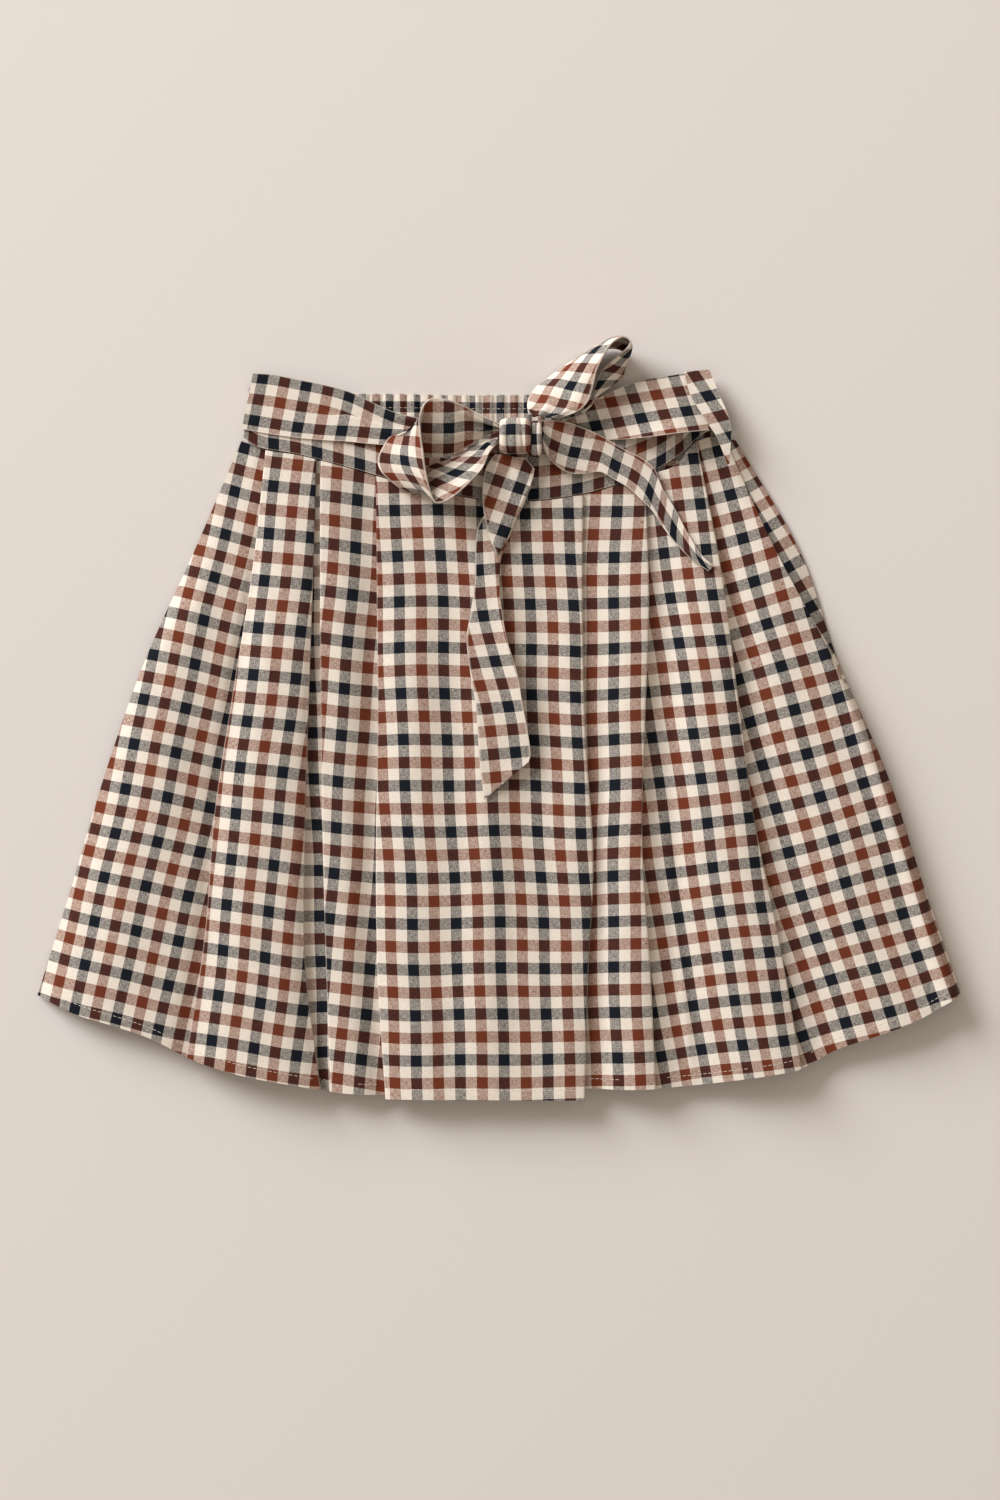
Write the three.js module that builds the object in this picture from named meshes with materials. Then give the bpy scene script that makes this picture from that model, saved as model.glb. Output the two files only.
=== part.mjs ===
// Skort laid flat on a surface: a pleated checked skirt over plain inner shorts, with an elastic
// back waistband, a shaped front waistband and a sash tied in a bow.
// Millimetres. The garment lies on the plane z = 0 with its waist towards +y, and the origin is
// under the middle of its bounding box.
import * as THREE from 'three';

// Cloth walls and the air kept between them
const SEAM_GAP = 0.3;
const REST_WALL = 1.2;
const SKIRT_WALL = 1.0;
const SHORTS_WALL = 1.0;
const SASH_WALL = 1.2;
const BAND_WALL = 2.2;

// Heights of the middle of each layer over the surface
const SHORTS_BOTTOM = REST_WALL + SEAM_GAP;
const SHORTS_TOP = SHORTS_BOTTOM + 2 * SHORTS_WALL + SEAM_GAP + 0.2;
const FRONT_AT_SIDE = REST_WALL + SEAM_GAP + SKIRT_WALL / 2;
const FRONT_IN_MIDDLE = SHORTS_TOP + SEAM_GAP + SKIRT_WALL / 2;
const SIDE_ROLL = 40;

// Pleats: how deep each turns under, and the step from one folded layer to the next
const PLEAT_DEPTH_AT_SEAM = 12;
const PLEAT_DEPTH_AT_HEM = 28;
const LAYER_AT_SEAM = 1.35;
const LAYER_AT_HEM = 1.6;
const LAYER_OPENS_BY = 0.25;
const SKIRT_ROWS = [0, 0.05, 0.13, 0.22, 0.33, 0.48, 0.65, 0.83, 1];
const TURN_STEPS = 4;

// Back waistband: flutes of the elastic gathering
const BACK_FLUTES = 36;
const STEPS_PER_FLUTE = 4;
const FLUTE_HEIGHT = 0.8;
const CASING_LINE = 8;
const BAND_WIDTH = 37;
const BACK_SEAM = 150;

// Rows of a table as objects with named columns
function table(columns, rows) {
  const names = columns.split(' ');
  return rows.map((row) => Object.fromEntries(names.map((name, k) => [name, row[k]])));
}

// Lines that run from the waist seam (s = 0) to the hem (s = 1): x at each fifth of the way
const LINES = {
  sideLeft: [-147.8, -175, -203.5, -226, -245, -265],
  foldA: [-134, -141.5, -152.5, -163, -168.5, -179],
  foldB: [-104.6, -106.6, -109, -111, -110.8, -102],
  foldB2: [-102.5, -102.5, -102, -101, -99, -96.5],
  foldC: [-70.5, -70, -69.5, -70.5, -69.5, -65],
  foldD: [48.3, 48, 49.6, 54, 51, 49],
  foldD2: [84, 86, 83.7, 82, 86.5, 89.7],
  foldE: [113.5, 127, 136.5, 146, 160.5, 173],
  foldF: [129, 158, 191.5, 219.5, 240.5, 262.5],
  sideRight: [136, 172.5, 194.7, 222.3, 243.2, 265],
};

// Waist seam of the front, and the hems
const FRONT_SEAM = table('x y', [
  [-148, 161], [-136.5, 156], [-114.5, 152], [-85.5, 144.5], [-57, 136.5], [-28, 129.5], [0.5, 125.5],
  [29.5, 126.5], [58, 132], [87, 141.5], [103, 148], [111, 158], [120, 162.5], [136, 161],
]);
const HEM_LEFT = table('x y', [
  [-265, -158], [-244, -168], [-221, -175], [-198, -183], [-179, -193], [-152, -202], [-117, -209],
  [-94, -213], [-20, -214],
]);
const HEM_CENTRE = table('x y', [[-70, -217], [50, -218]]);
const HEM_RIGHT = table('x y', [
  [10, -209], [90, -211], [113, -209], [136, -206], [159, -202.5], [173, -199.5], [193, -189], [216, -181],
  [239, -172], [265, -156.5],
]);
const HEM_BACK = table('x y', [
  [-265, -157], [-221, -173], [-179, -190], [-117, -206], [0, -211], [90, -208], [159, -200], [216, -179],
  [265, -155.5],
]);
const BACK_BAND_TOP = table('x y', [
  [-139.5, 196.7], [-114.5, 193], [-85.5, 187.5], [-57, 187], [23.5, 186.5], [58, 187.5], [87, 192],
  [107, 195.5], [121.5, 196.3],
]);
// How far the back waistband's ends lean out for each millimetre down
const BACK_BAND_LEAN = { left: -0.13, right: 0.15 };
const SHORTS_LEG = table('y inner outer', [
  [149, 0.15, 104], [100, 0.15, 124], [40, 0.15, 140], [-45, 0.15, 148], [-82, 12, 150], [-118, 24, 152],
]);

// Front waistband: its upper and lower edges
const FRONT_BAND = table('topX topY bottomX bottomY', [
  [-143.5, 191, -146.8, 161.8], [-136, 192.5, -136.5, 156.3], [-114.5, 189.5, -114.5, 152.3],
  [-85.5, 181, -85.5, 144.8], [-57, 173, -57, 136.8], [-28, 166, -28, 129.8], [0.5, 162, 0.5, 125.8],
  [29.5, 163.5, 29.5, 126.8], [58, 169, 58, 132.3], [87, 178, 86, 142], [103, 184, 103, 152],
  [114, 188.5, 119, 165.5], [124, 191, 134, 165],
]);

// Sash lengths: upper and lower edges, how far the lengthwise pleat has closed (0 to 1), and how
// high the lower edge stands off the band
const SASH_LEFT = table('topX topY bottomX bottomY pleat lift', [
  [-141, 199, -147.6, 167, 0, 0], [-129.5, 198, -134, 164.5, 0, 0], [-114.5, 195, -117.5, 162, 0, 0],
  [-100, 192, -102, 160.5, 0.2, 0], [-85.5, 188, -87, 159.5, 0.8, 0], [-71.5, 181.5, -72, 158, 1, 0],
  [-57, 175.5, -57, 157, 1, 0], [-39.5, 172, -39.5, 156.5, 1, 0], [-16.5, 169, -16.5, 157.5, 1, 0],
  [8, 167, 8, 158.5, 1, 0],
]);
const SASH_RIGHT = table('topX topY bottomX bottomY pleat lift', [
  [8.5, 167, 8.5, 158.5, 1, 0], [26.5, 170, 26.5, 160, 1, 0], [43.5, 178, 43.5, 160, 0.5, 0],
  [58, 185, 62.5, 160.5, 0, 0.3], [78, 193.5, 81, 161.2, 0, 6.5], [95.5, 197, 101, 163.5, 0, 11],
  [113.5, 200, 120, 165.8, 0, 7.5],
]);
const SASH_LOOP_RIGHT = table('topX topY bottomX bottomY lift', [
  [106, 199.3, 120.6, 200.8, 0.6], [107.5, 192.6, 123.4, 193.4, 2.4], [110.4, 184, 126.4, 185.2, 4.8],
  [115.2, 176, 130, 177, 6.8], [120, 168.5, 132, 170, 7.8], [124.2, 162, 132.8, 164.2, 8],
  [126.8, 156, 132.4, 157.5, 8], [129.2, 149.5, 132, 150.5, 7.8], [130.4, 146, 131.8, 146.5, 7.5],
]);
const SASH_PLEAT_AT = 0.5;
const SASH_PLEAT_STEP = 1.3;
const BAND_PUFF = 0.3;

// Bow: the two long edges of the ribbon, station by station from the knot round to the end
const LOOP_LEFT = table('nearX nearY nearZ farX farY farZ', [
  [0, 169, 18, 0, 165, 13], [-8, 172.5, 21, -7.5, 162.8, 11.5], [-19.6, 178.6, 24, -16.5, 157.6, 10.8],
  [-27, 181.5, 26, -27, 151.8, 10.8], [-34.5, 182.8, 27, -38.5, 150.2, 10.8],
  [-39.5, 182, 28, -48.5, 152.5, 10.8], [-43, 178.5, 28.5, -56, 159.5, 10.8],
  [-45, 171.5, 29, -62, 162, 10.8], [-44.6, 163, 30, -67, 155, 10.8], [-43.2, 153, 30, -69.3, 148, 10.8],
  [-42, 143.5, 30, -66.3, 141, 10.8], [-40, 133, 29, -56, 132.5, 10.8], [-37.6, 125.5, 28, -48, 130.5, 10.8],
  [-35.3, 123.2, 27.5, -44.5, 138, 10.8], [-31, 124, 27, -39, 146, 10.8],
  [-24.2, 128.3, 26, -32, 147.8, 10.8], [-16.7, 135.2, 25, -23.5, 150.8, 10.8],
  [-9.5, 143.5, 22, -14, 156, 10.8], [-5.5, 152.5, 20, -6.5, 160.7, 11.5], [0, 159, 18, 0, 161.3, 13],
]);
const LOOP_RIGHT = table('nearX nearY nearZ farX farY farZ', [
  [34, 172, 18, 17, 174, 17], [45, 176, 20.5, 16.2, 179.5, 12], [50.3, 181, 22, 17.5, 185.5, 7],
  [52.8, 187, 23.5, 21.5, 191.5, 4], [54.2, 193, 26, 28.5, 196.5, 2.5], [55.5, 198.5, 28, 37, 203, 2],
  [58, 204, 29.5, 45.5, 208, 2], [61, 209.3, 30, 54.5, 211.4, 2], [64.8, 214.6, 29, 62.5, 213.4, 2],
  [70.5, 217.7, 27, 68, 213.2, 2], [74.6, 215.6, 25.5, 71.5, 211.5, 2], [73.5, 212.3, 24, 73, 207.5, 2],
  [68.5, 208, 22, 72.2, 202.3, 2], [63.3, 203.6, 20.5, 71, 197.5, 3], [58.3, 198.6, 19, 67.5, 193.6, 8.5],
  [55.8, 193, 17, 62.5, 190, 10.7], [53.5, 187, 15.5, 55.7, 184.8, 10.8], [48, 179, 14, 49, 177.5, 10.8],
  [36, 172.5, 12.8, 38.5, 172.3, 10.8],
]);
const TAIL_RIGHT = table('nearX nearY nearZ farX farY farZ', [
  [24.5, 171, 16, 24.5, 157, 16], [29, 171.5, 15, 30, 148, 13], [38.5, 170.5, 13, 39.5, 141.5, 10.5],
  [49, 167, 11.5, 49, 141, 9.8], [60, 162, 10.6, 58, 142, 9.8], [70, 156, 10.2, 65.5, 138, 9.8],
  [81, 150.5, 10, 74, 133, 9.8], [89, 144, 9.8, 81, 126.5, 9.8], [94, 132, 9.8, 88, 119.5, 9.8],
  [100.5, 121.5, 9.8, 93.5, 111, 9.8], [107.5, 108, 9.8, 100.5, 102, 9.8], [115.5, 95, 9.6, 110, 92, 9.6],
  [123, 88, 9.5, 120, 85, 9.5],
]);
const TAIL_LEFT = table('nearX nearY nearZ farX farY farZ', [
  [-2, 152, 15, 15, 149.5, 15], [-5.5, 147.5, 14.5, 20, 144, 14], [-8.3, 141, 13.8, 20, 142, 13],
  [-9.4, 127, 13, 19.6, 139, 12.6], [-7.3, 111, 12.8, 18.8, 136.5, 12.6], [-2.2, 96, 12.6, 18, 134.5, 12.6],
  [-0.6, 93.6, 11.2, 17.6, 132.5, 11.2], [-0.4, 89, 10, 13.5, 130.5, 9.8], [0.3, 78, 11.5, -3.5, 121, 9.8],
  [0.8, 69, 12.6, -11.5, 112, 9.8], [2.6, 56.5, 13, -13.4, 97.5, 9.8], [4.6, 46, 13, -13.6, 80.5, 9.8],
  [8, 34.5, 13, -16, 62, 9.8], [11, 24, 12.8, -18.5, 46, 9.8], [13, 11.5, 12.2, -16, 24, 9.8],
  [16, -4.5, 11, -13, 6, 9.8], [18, -18.5, 9.7, -11, -24, 9.7], [17, -24, 9.7, -8.5, -45.5, 9.7],
]);
const LOOP_STATIONS = 42;
const LOOP_CUP = 1.5;
const KNOT = { left: 0.5, right: 18, bottom: 152.2, top: 172, low: 10.2, high: 25 };
const WRAP = { left: 18.4, right: 24, bottom: 150.5, top: 170.5, low: 10.2, high: 22 };

// Soft pleats: how far the front rises over its lowest layer at a share of the way between two lines,
// in the upper third and at the hem
const FRONT_RISES = table('from to share upper hem', [
  ['sideLeft', 'foldA', 0, 0, 0], ['sideLeft', 'foldA', 0.11, 4.2, 5], ['sideLeft', 'foldA', 0.25, 6.8, 7],
  ['sideLeft', 'foldA', 0.48, 6.6, 7.8], ['sideLeft', 'foldA', 0.72, 5, 7.5],
  ['sideLeft', 'foldA', 0.89, 3, 6.5], ['foldA', 'foldB', 0, 0.5, 4], ['foldA', 'foldB', 0.16, 3, 6.5],
  ['foldA', 'foldB', 0.36, 5.6, 8.6], ['foldA', 'foldB', 0.58, 6.2, 9.2],
  ['foldA', 'foldB', 0.8, 5.8, 8.5], ['foldA', 'foldB', 0.94, 4.4, 6.2], ['foldB', 'foldB2', 0, 3, 4.2],
  ['foldB', 'foldB2', 0.5, 1.8, 3.2], ['foldB', 'foldB2', 1, 2, 4], ['foldB2', 'foldC', 0.28, 2.8, 5],
  ['foldB2', 'foldC', 0.65, 2.6, 4.8], ['foldB2', 'foldC', 1, 1, 3.8], ['foldC', 'foldD', 0.06, 3, 5.5],
  ['foldC', 'foldD', 0.16, 5.2, 7.2], ['foldC', 'foldD', 0.4, 3.4, 7], ['foldC', 'foldD', 0.52, 6.5, 7.6],
  ['foldC', 'foldD', 0.66, 2, 7], ['foldC', 'foldD', 0.78, 1.2, 6.8], ['foldC', 'foldD', 0.92, 3.6, 7.2],
  ['foldD', 'foldD2', 0, 3.5, 6.5], ['foldD', 'foldD2', 0.22, 3, 4.4], ['foldD', 'foldD2', 0.5, 4.2, 6.4],
  ['foldD', 'foldD2', 0.8, 5, 8], ['foldD', 'foldD2', 1, 4, 7.2], ['foldD2', 'foldE', 0.13, 1.6, 5],
  ['foldD2', 'foldE', 0.3, 1.8, 3.8], ['foldD2', 'foldE', 0.5, 4.2, 6.4],
  ['foldD2', 'foldE', 0.74, 6, 8.8], ['foldD2', 'foldE', 0.91, 5.8, 9], ['foldD2', 'foldE', 1, 4.2, 7],
  ['foldE', 'foldF', 0.12, 1, 4.5], ['foldE', 'foldF', 0.32, 3.2, 6.3], ['foldE', 'foldF', 0.6, 5, 8.3],
  ['foldE', 'foldF', 0.86, 6.6, 9.3], ['foldF', 'sideRight', 0, 6.5, 9], ['foldF', 'sideRight', 1, 0, 0],
]);
const RISE_BEGINS = 0.02;
const RISE_FULL = 0.34;

const CREAM = 0xded3c3;
const GINGHAM_MEAN = 0x9c8a7e;

const { clamp, lerp, smoothstep } = THREE.MathUtils;

// Smooth value between the rows of a table, for a column that grows down the table
function read(rows, inKey, outKey, value) {
  const last = rows.length - 1;
  let i = 0;
  while (i < last - 1 && value > rows[i + 1][inKey]) i += 1;
  const span = rows[i + 1][inKey] - rows[i][inKey];
  const t = clamp((value - rows[i][inKey]) / span, 0, 1);
  const slope = (k) => {
    const before = rows[Math.max(k - 1, 0)];
    const after = rows[Math.min(k + 1, last)];
    return (after[outKey] - before[outKey]) / (after[inKey] - before[inKey]);
  };
  return hermite(rows[i][outKey], rows[i + 1][outKey], slope(i) * span, slope(i + 1) * span, t);
}

function hermite(a, b, slopeA, slopeB, t) {
  const t2 = t * t;
  const t3 = t2 * t;
  return (2 * t3 - 3 * t2 + 1) * a + (t3 - 2 * t2 + t) * slopeA + (3 * t2 - 2 * t3) * b + (t3 - t2) * slopeB;
}

// The x of a named line at a part s of the way from seam to hem
function lineAt(name, s) {
  const xs = LINES[name];
  const rows = xs.map((x, k) => ({ s: k / (xs.length - 1), x }));
  return read(rows, 's', 'x', s);
}

// Every column of a table read at evenly spaced stations
function stations(rows, count) {
  const numbered = rows.map((row, k) => ({ ...row, k }));
  const keys = Object.keys(rows[0]);
  return Array.from({ length: count }, (_, j) => {
    const at = (j / (count - 1)) * (rows.length - 1);
    return Object.fromEntries(keys.map((key) => [key, read(numbered, 'k', key, at)]));
  });
}

function body(points, faces) {
  const geometry = new THREE.BufferGeometry();
  const places = points.flatMap((p) => [p.x, p.y, p.z]);
  geometry.setAttribute('position', new THREE.Float32BufferAttribute(places, 3));
  geometry.setIndex(faces);
  geometry.computeVertexNormals();
  return geometry;
}

// Closed body between two grids of points of the same size, outer face first
function closeGrids(outer, inner) {
  const rowCount = outer.length;
  const columnCount = outer[0].length;
  const points = [...outer.flat(), ...inner.flat()];
  const offset = rowCount * columnCount;
  const outerAt = (i, j) => i * columnCount + j;
  const innerAt = (i, j) => offset + i * columnCount + j;
  const faces = [];
  const quad = (a, b, c, d) => faces.push(a, b, c, a, c, d);
  for (let i = 0; i < rowCount - 1; i += 1) {
    for (let j = 0; j < columnCount - 1; j += 1) {
      quad(outerAt(i, j), outerAt(i + 1, j), outerAt(i + 1, j + 1), outerAt(i, j + 1));
      quad(innerAt(i, j), innerAt(i, j + 1), innerAt(i + 1, j + 1), innerAt(i + 1, j));
    }
    const end = columnCount - 1;
    quad(outerAt(i, 0), innerAt(i, 0), innerAt(i + 1, 0), outerAt(i + 1, 0));
    quad(outerAt(i, end), outerAt(i + 1, end), innerAt(i + 1, end), innerAt(i, end));
  }
  for (let j = 0; j < columnCount - 1; j += 1) {
    const end = rowCount - 1;
    quad(outerAt(0, j), outerAt(0, j + 1), innerAt(0, j + 1), innerAt(0, j));
    quad(outerAt(end, j), innerAt(end, j), innerAt(end, j + 1), outerAt(end, j + 1));
  }
  return body(points, faces);
}

// Wall of even thickness about a grid of middle points; rows run down the cloth, columns across it
function wallAbout(grid, wall) {
  const rowEnd = grid.length - 1;
  const columnEnd = grid[0].length - 1;
  const normalAt = (i, j) => {
    const down = grid[Math.min(i + 1, rowEnd)][j].clone().sub(grid[Math.max(i - 1, 0)][j]);
    const across = grid[i][Math.min(j + 1, columnEnd)].clone().sub(grid[i][Math.max(j - 1, 0)]);
    return down.cross(across).normalize();
  };
  const shifted = (distance) =>
    grid.map((row, i) => row.map((p, j) => p.clone().addScaledVector(normalAt(i, j), distance)));
  return closeGrids(shifted(wall / 2), shifted(-wall / 2));
}

// Slab that rests on the surface: its upper points over a flat underside
function restingSlab(upper) {
  const underside = upper.map((row) => row.map((p) => new THREE.Vector3(p.x, p.y, 0)));
  return closeGrids(upper, underside);
}

function mesh(name, geometry, colour = GINGHAM_MEAN) {
  const material = new THREE.MeshStandardMaterial({ color: colour, roughness: 0.9, metalness: 0 });
  const piece = new THREE.Mesh(geometry, material);
  piece.name = name;
  return piece;
}

// Rise of the soft pleats at a place across one part of the way down
function frontRise(x, s) {
  const lower = clamp((s - RISE_FULL) / (1 - RISE_FULL), 0, 1);
  const profile = FRONT_RISES.map((row) => ({
    x: lerp(lineAt(row.from, s), lineAt(row.to, s), row.share),
    rise: lerp(row.upper, row.hem, lower),
  }));
  return smoothstep(s, RISE_BEGINS, RISE_FULL) * read(profile, 'x', 'rise', x);
}

// Middle height of the skirt front's lowest layer: low at the sides, over the shorts in the middle,
// and higher along each soft pleat
function frontBase(x, s) {
  const inFromSide = Math.min(x - lineAt('sideLeft', s), lineAt('sideRight', s) - x);
  return lerp(FRONT_AT_SIDE, FRONT_IN_MIDDLE, smoothstep(inFromSide, 0, SIDE_ROLL)) + frontRise(x, s);
}

// One cross-section of folded cloth: runs from line to line on given layers, joined by half-round
// turns wherever the cloth doubles back
function foldedSection(runs, s) {
  const depth = lerp(PLEAT_DEPTH_AT_SEAM, PLEAT_DEPTH_AT_HEM, s);
  const layer = lerp(LAYER_AT_SEAM, LAYER_AT_HEM, smoothstep(s, 0, LAYER_OPENS_BY));
  const turnInset = (layer + SKIRT_WALL) / 2;
  const ends = runs.map((run) => ({
    from: lineAt(run.from, s) + run.fromShift * depth,
    to: lineAt(run.to, s) + run.toShift * depth,
  }));
  const directions = ends.map((end) => Math.sign(end.to - end.from));
  const section = [];
  runs.forEach((run, r) => {
    const turnsBefore = r > 0 && directions[r - 1] !== directions[r];
    const turnsAfter = r < runs.length - 1 && directions[r + 1] !== directions[r];
    const startX = turnsBefore ? ends[r].from + directions[r] * turnInset : ends[r].from;
    const endX = turnsAfter ? ends[r].to - directions[r] * turnInset : ends[r].to;
    const first = r > 0 && !turnsBefore ? 1 : 0;
    for (let k = first; k <= run.steps; k += 1) {
      const t = k / run.steps;
      const x = lerp(startX, endX, t);
      const level = lerp(run.fromLayer, run.toLayer, smoothstep(t, 0, 1));
      section.push({ x, z: frontBase(x, s) + level * layer });
    }
    if (turnsAfter) {
      const next = runs[r + 1];
      const base = frontBase(endX, s);
      for (let k = 1; k < TURN_STEPS; k += 1) {
        const angle = (Math.PI * k) / TURN_STEPS;
        const level = lerp(run.toLayer, next.fromLayer, (1 - Math.cos(angle)) / 2);
        section.push({ x: endX + directions[r] * (layer / 2) * Math.sin(angle), z: base + level * layer });
      }
    }
  });
  return section;
}

// Part of the skirt front: its folded sections from the waist seam down to its own hem
function foldedPanel(runs, hem) {
  const atSeam = foldedSection(runs, 0);
  const atHem = foldedSection(runs, 1);
  const grid = SKIRT_ROWS.map((s) =>
    foldedSection(runs, s).map((p, k) => {
      const seamY = read(FRONT_SEAM, 'x', 'y', atSeam[k].x) - SEAM_GAP;
      const hemY = read(hem, 'x', 'y', atHem[k].x);
      return new THREE.Vector3(p.x, lerp(seamY, hemY, s), p.z);
    }));
  return wallAbout(grid, SKIRT_WALL);
}

const RUN = 'from fromShift to toShift fromLayer toLayer steps';

function skirtFrontLeft() {
  const runs = table(RUN, [
    ['sideLeft', 0, 'foldA', 1, 0, 0, 11],
    ['foldA', 1, 'foldA', 0, 1, 1, 3],
    ['foldA', 0, 'foldB', 0, 2, 2, 9],
    ['foldB', 0, 'foldB', -0.9, 1, 1, 3],
    ['foldB', -0.9, 'foldB2', 0.4, 0, 0, 4],
    ['foldB2', 0.4, 'foldB2', 0, 1, 1, 2],
    ['foldB2', 0, 'foldB2', 0.5, 2, 2, 2],
    ['foldB2', 0.5, 'foldC', 0, 2, 0, 5],
    ['foldC', 0, 'foldC', 0.9, 0, 0, 3],
  ]);
  return mesh('skirt_front_left', foldedPanel(runs, HEM_LEFT));
}

function skirtFrontCentre() {
  const runs = table(RUN, [
    ['foldC', 0.9, 'foldC', 0, 1, 1, 3],
    ['foldC', 0, 'foldD', 0, 2, 2, 18],
    ['foldD', 0, 'foldD', -0.9, 1, 1, 3],
  ]);
  return mesh('skirt_front_centre', foldedPanel(runs, HEM_CENTRE));
}

function skirtFrontRight() {
  const runs = table(RUN, [
    ['foldD', -0.9, 'foldD', 0, 0, 0, 3],
    ['foldD', 0, 'foldD2', -0.6, 0, 2, 5],
    ['foldD2', -0.6, 'foldD2', 0, 2, 2, 2],
    ['foldD2', 0, 'foldD2', -0.5, 1, 1, 2],
    ['foldD2', -0.5, 'foldD2', 0.1, 0, 0, 3],
    ['foldD2', 0.1, 'foldE', -0.9, 0, 2, 7],
    ['foldE', -0.9, 'foldE', 0, 2, 2, 2],
    ['foldE', 0, 'foldE', -0.8, 1, 1, 3],
    ['foldE', -0.8, 'foldE', 0.1, 0, 0, 3],
    ['foldE', 0.1, 'foldF', 0, 0, 1.2, 9],
    ['foldF', 0, 'foldF', 0.03, 1.2, 0, 1],
    ['foldF', 0.03, 'sideRight', 0, 0, 0, 2],
  ]);
  return mesh('skirt_front_right', foldedPanel(runs, HEM_RIGHT));
}

// Back panel: plain, from the back waistband down to its hem, flat underneath
function skirtBack() {
  const columns = 18;
  const inset = 0.6;
  const seamY = BACK_SEAM - SEAM_GAP - 0.1;
  const grid = SKIRT_ROWS.map((s) => {
    const left = lineAt('sideLeft', s) + inset;
    const right = lineAt('sideRight', s) - inset;
    return Array.from({ length: columns + 1 }, (_, j) => {
      const t = j / columns;
      const hemX = lerp(lineAt('sideLeft', 1), lineAt('sideRight', 1), t);
      const hemY = read(HEM_BACK, 'x', 'y', hemX);
      return new THREE.Vector3(lerp(left, right, t), lerp(seamY, hemY, s), REST_WALL);
    });
  });
  return mesh('skirt_back', restingSlab(grid));
}

// Back waistband: elastic gathers it into upright flutes on the face that shows
function waistbandBack() {
  const columns = BACK_FLUTES * STEPS_PER_FLUTE;
  const left = BACK_BAND_TOP[0].x;
  const right = BACK_BAND_TOP[BACK_BAND_TOP.length - 1].x;
  const depths = [0, CASING_LINE * 0.5, CASING_LINE, CASING_LINE * 1.6, BAND_WIDTH];
  const fullness = [0.8, 1, 0.4, 1, 0.6];
  const grid = depths.map((down, i) =>
    Array.from({ length: columns + 1 }, (_, j) => {
      const x = lerp(left + BACK_BAND_LEAN.left * down, right + BACK_BAND_LEAN.right * down, j / columns);
      const wave = 0.5 - 0.5 * Math.cos((j / STEPS_PER_FLUTE) * 2 * Math.PI);
      const y = read(BACK_BAND_TOP, 'x', 'y', x) - down + (i === 0 ? 0.5 * wave : 0);
      return new THREE.Vector3(x, Math.max(y, BACK_SEAM), REST_WALL + FLUTE_HEIGHT * fullness[i] * wave);
    }));
  return mesh('waistband_back', restingSlab(grid));
}

// Underside of the front waistband: over the back waistband at the sides, over the shorts elsewhere
function bandUnderside(x) {
  const inFromSide = Math.min(x - FRONT_BAND[0].bottomX, FRONT_BAND[FRONT_BAND.length - 1].bottomX - x);
  const overBack = REST_WALL + FLUTE_HEIGHT + SEAM_GAP;
  return lerp(overBack, SHORTS_TOP + SEAM_GAP, smoothstep(inFromSide, 0, SIDE_ROLL));
}

// Middle height of a sash that lies on the front waistband
function sashBase(x) {
  return bandUnderside(x) + BAND_WALL + BAND_PUFF + SEAM_GAP + SASH_WALL / 2;
}

// Front waistband: shaped band, doubled cloth with the pleats' seam allowance inside
function waistbandFront() {
  const columns = 30;
  const rows = 4;
  const across = stations(FRONT_BAND, columns + 1);
  const grid = Array.from({ length: rows + 1 }, (_, i) =>
    across.map((row) => {
      const t = i / rows;
      const x = lerp(row.topX, row.bottomX, t);
      const middle = bandUnderside(x) + BAND_WALL / 2;
      return new THREE.Vector3(x, lerp(row.topY, row.bottomY, t), middle + BAND_PUFF * Math.sin(Math.PI * t));
    }));
  return mesh('waistband_front', wallAbout(grid, BAND_WALL));
}

// Shorts leg: a flattened tube of cloth between the skirt's back and front
function shortsLeg(name, side) {
  const perHalf = 8;
  const middle = (SHORTS_BOTTOM + SHORTS_TOP) / 2;
  const halfHeight = (SHORTS_TOP - SHORTS_BOTTOM) / 2;
  const ringAt = (row, inset) => {
    const innerX = Math.max(row.inner, SHORTS_LEG[0].inner);
    const half = (row.outer - innerX) / 2 - inset;
    const height = halfHeight - inset;
    const centre = (side * (row.outer + innerX)) / 2;
    return Array.from({ length: perHalf * 2 }, (_, k) => {
      const onEnd = k < perHalf ? 1 : -1;
      const angle = -Math.PI / 2 + (Math.PI * (k % perHalf)) / (perHalf - 1);
      const x = centre + onEnd * (half - height + height * Math.cos(angle));
      return new THREE.Vector3(x, row.y, middle + onEnd * height * Math.sin(angle));
    });
  };
  const rows = stations(SHORTS_LEG, 9);
  const closeRing = (ring) => [...ring, ring[0].clone()];
  const outer = rows.map((row) => closeRing(ringAt(row, 0)));
  const inner = rows.map((row) => closeRing(ringAt(row, SHORTS_WALL)));
  return mesh(name, tubeBetween(outer, inner), CREAM);
}

// Closed tube wall between outer and inner rings, whose last point repeats the first
function tubeBetween(outer, inner) {
  const around = outer[0].length - 1;
  const count = outer.length;
  const points = [];
  outer.forEach((ring) => points.push(...ring.slice(0, around)));
  inner.forEach((ring) => points.push(...ring.slice(0, around)));
  const outerAt = (i, j) => i * around + (j % around);
  const innerAt = (i, j) => (count + i) * around + (j % around);
  const faces = [];
  const quad = (a, b, c, d) => faces.push(a, b, c, a, c, d);
  for (let j = 0; j < around; j += 1) {
    for (let i = 0; i < count - 1; i += 1) {
      quad(outerAt(i, j), outerAt(i, j + 1), outerAt(i + 1, j + 1), outerAt(i + 1, j));
      quad(innerAt(i, j), innerAt(i + 1, j), innerAt(i + 1, j + 1), innerAt(i, j + 1));
    }
    quad(outerAt(0, j), innerAt(0, j), innerAt(0, j + 1), outerAt(0, j + 1));
    quad(outerAt(count - 1, j), outerAt(count - 1, j + 1), innerAt(count - 1, j + 1), innerAt(count - 1, j));
  }
  return body(points, faces);
}

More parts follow.
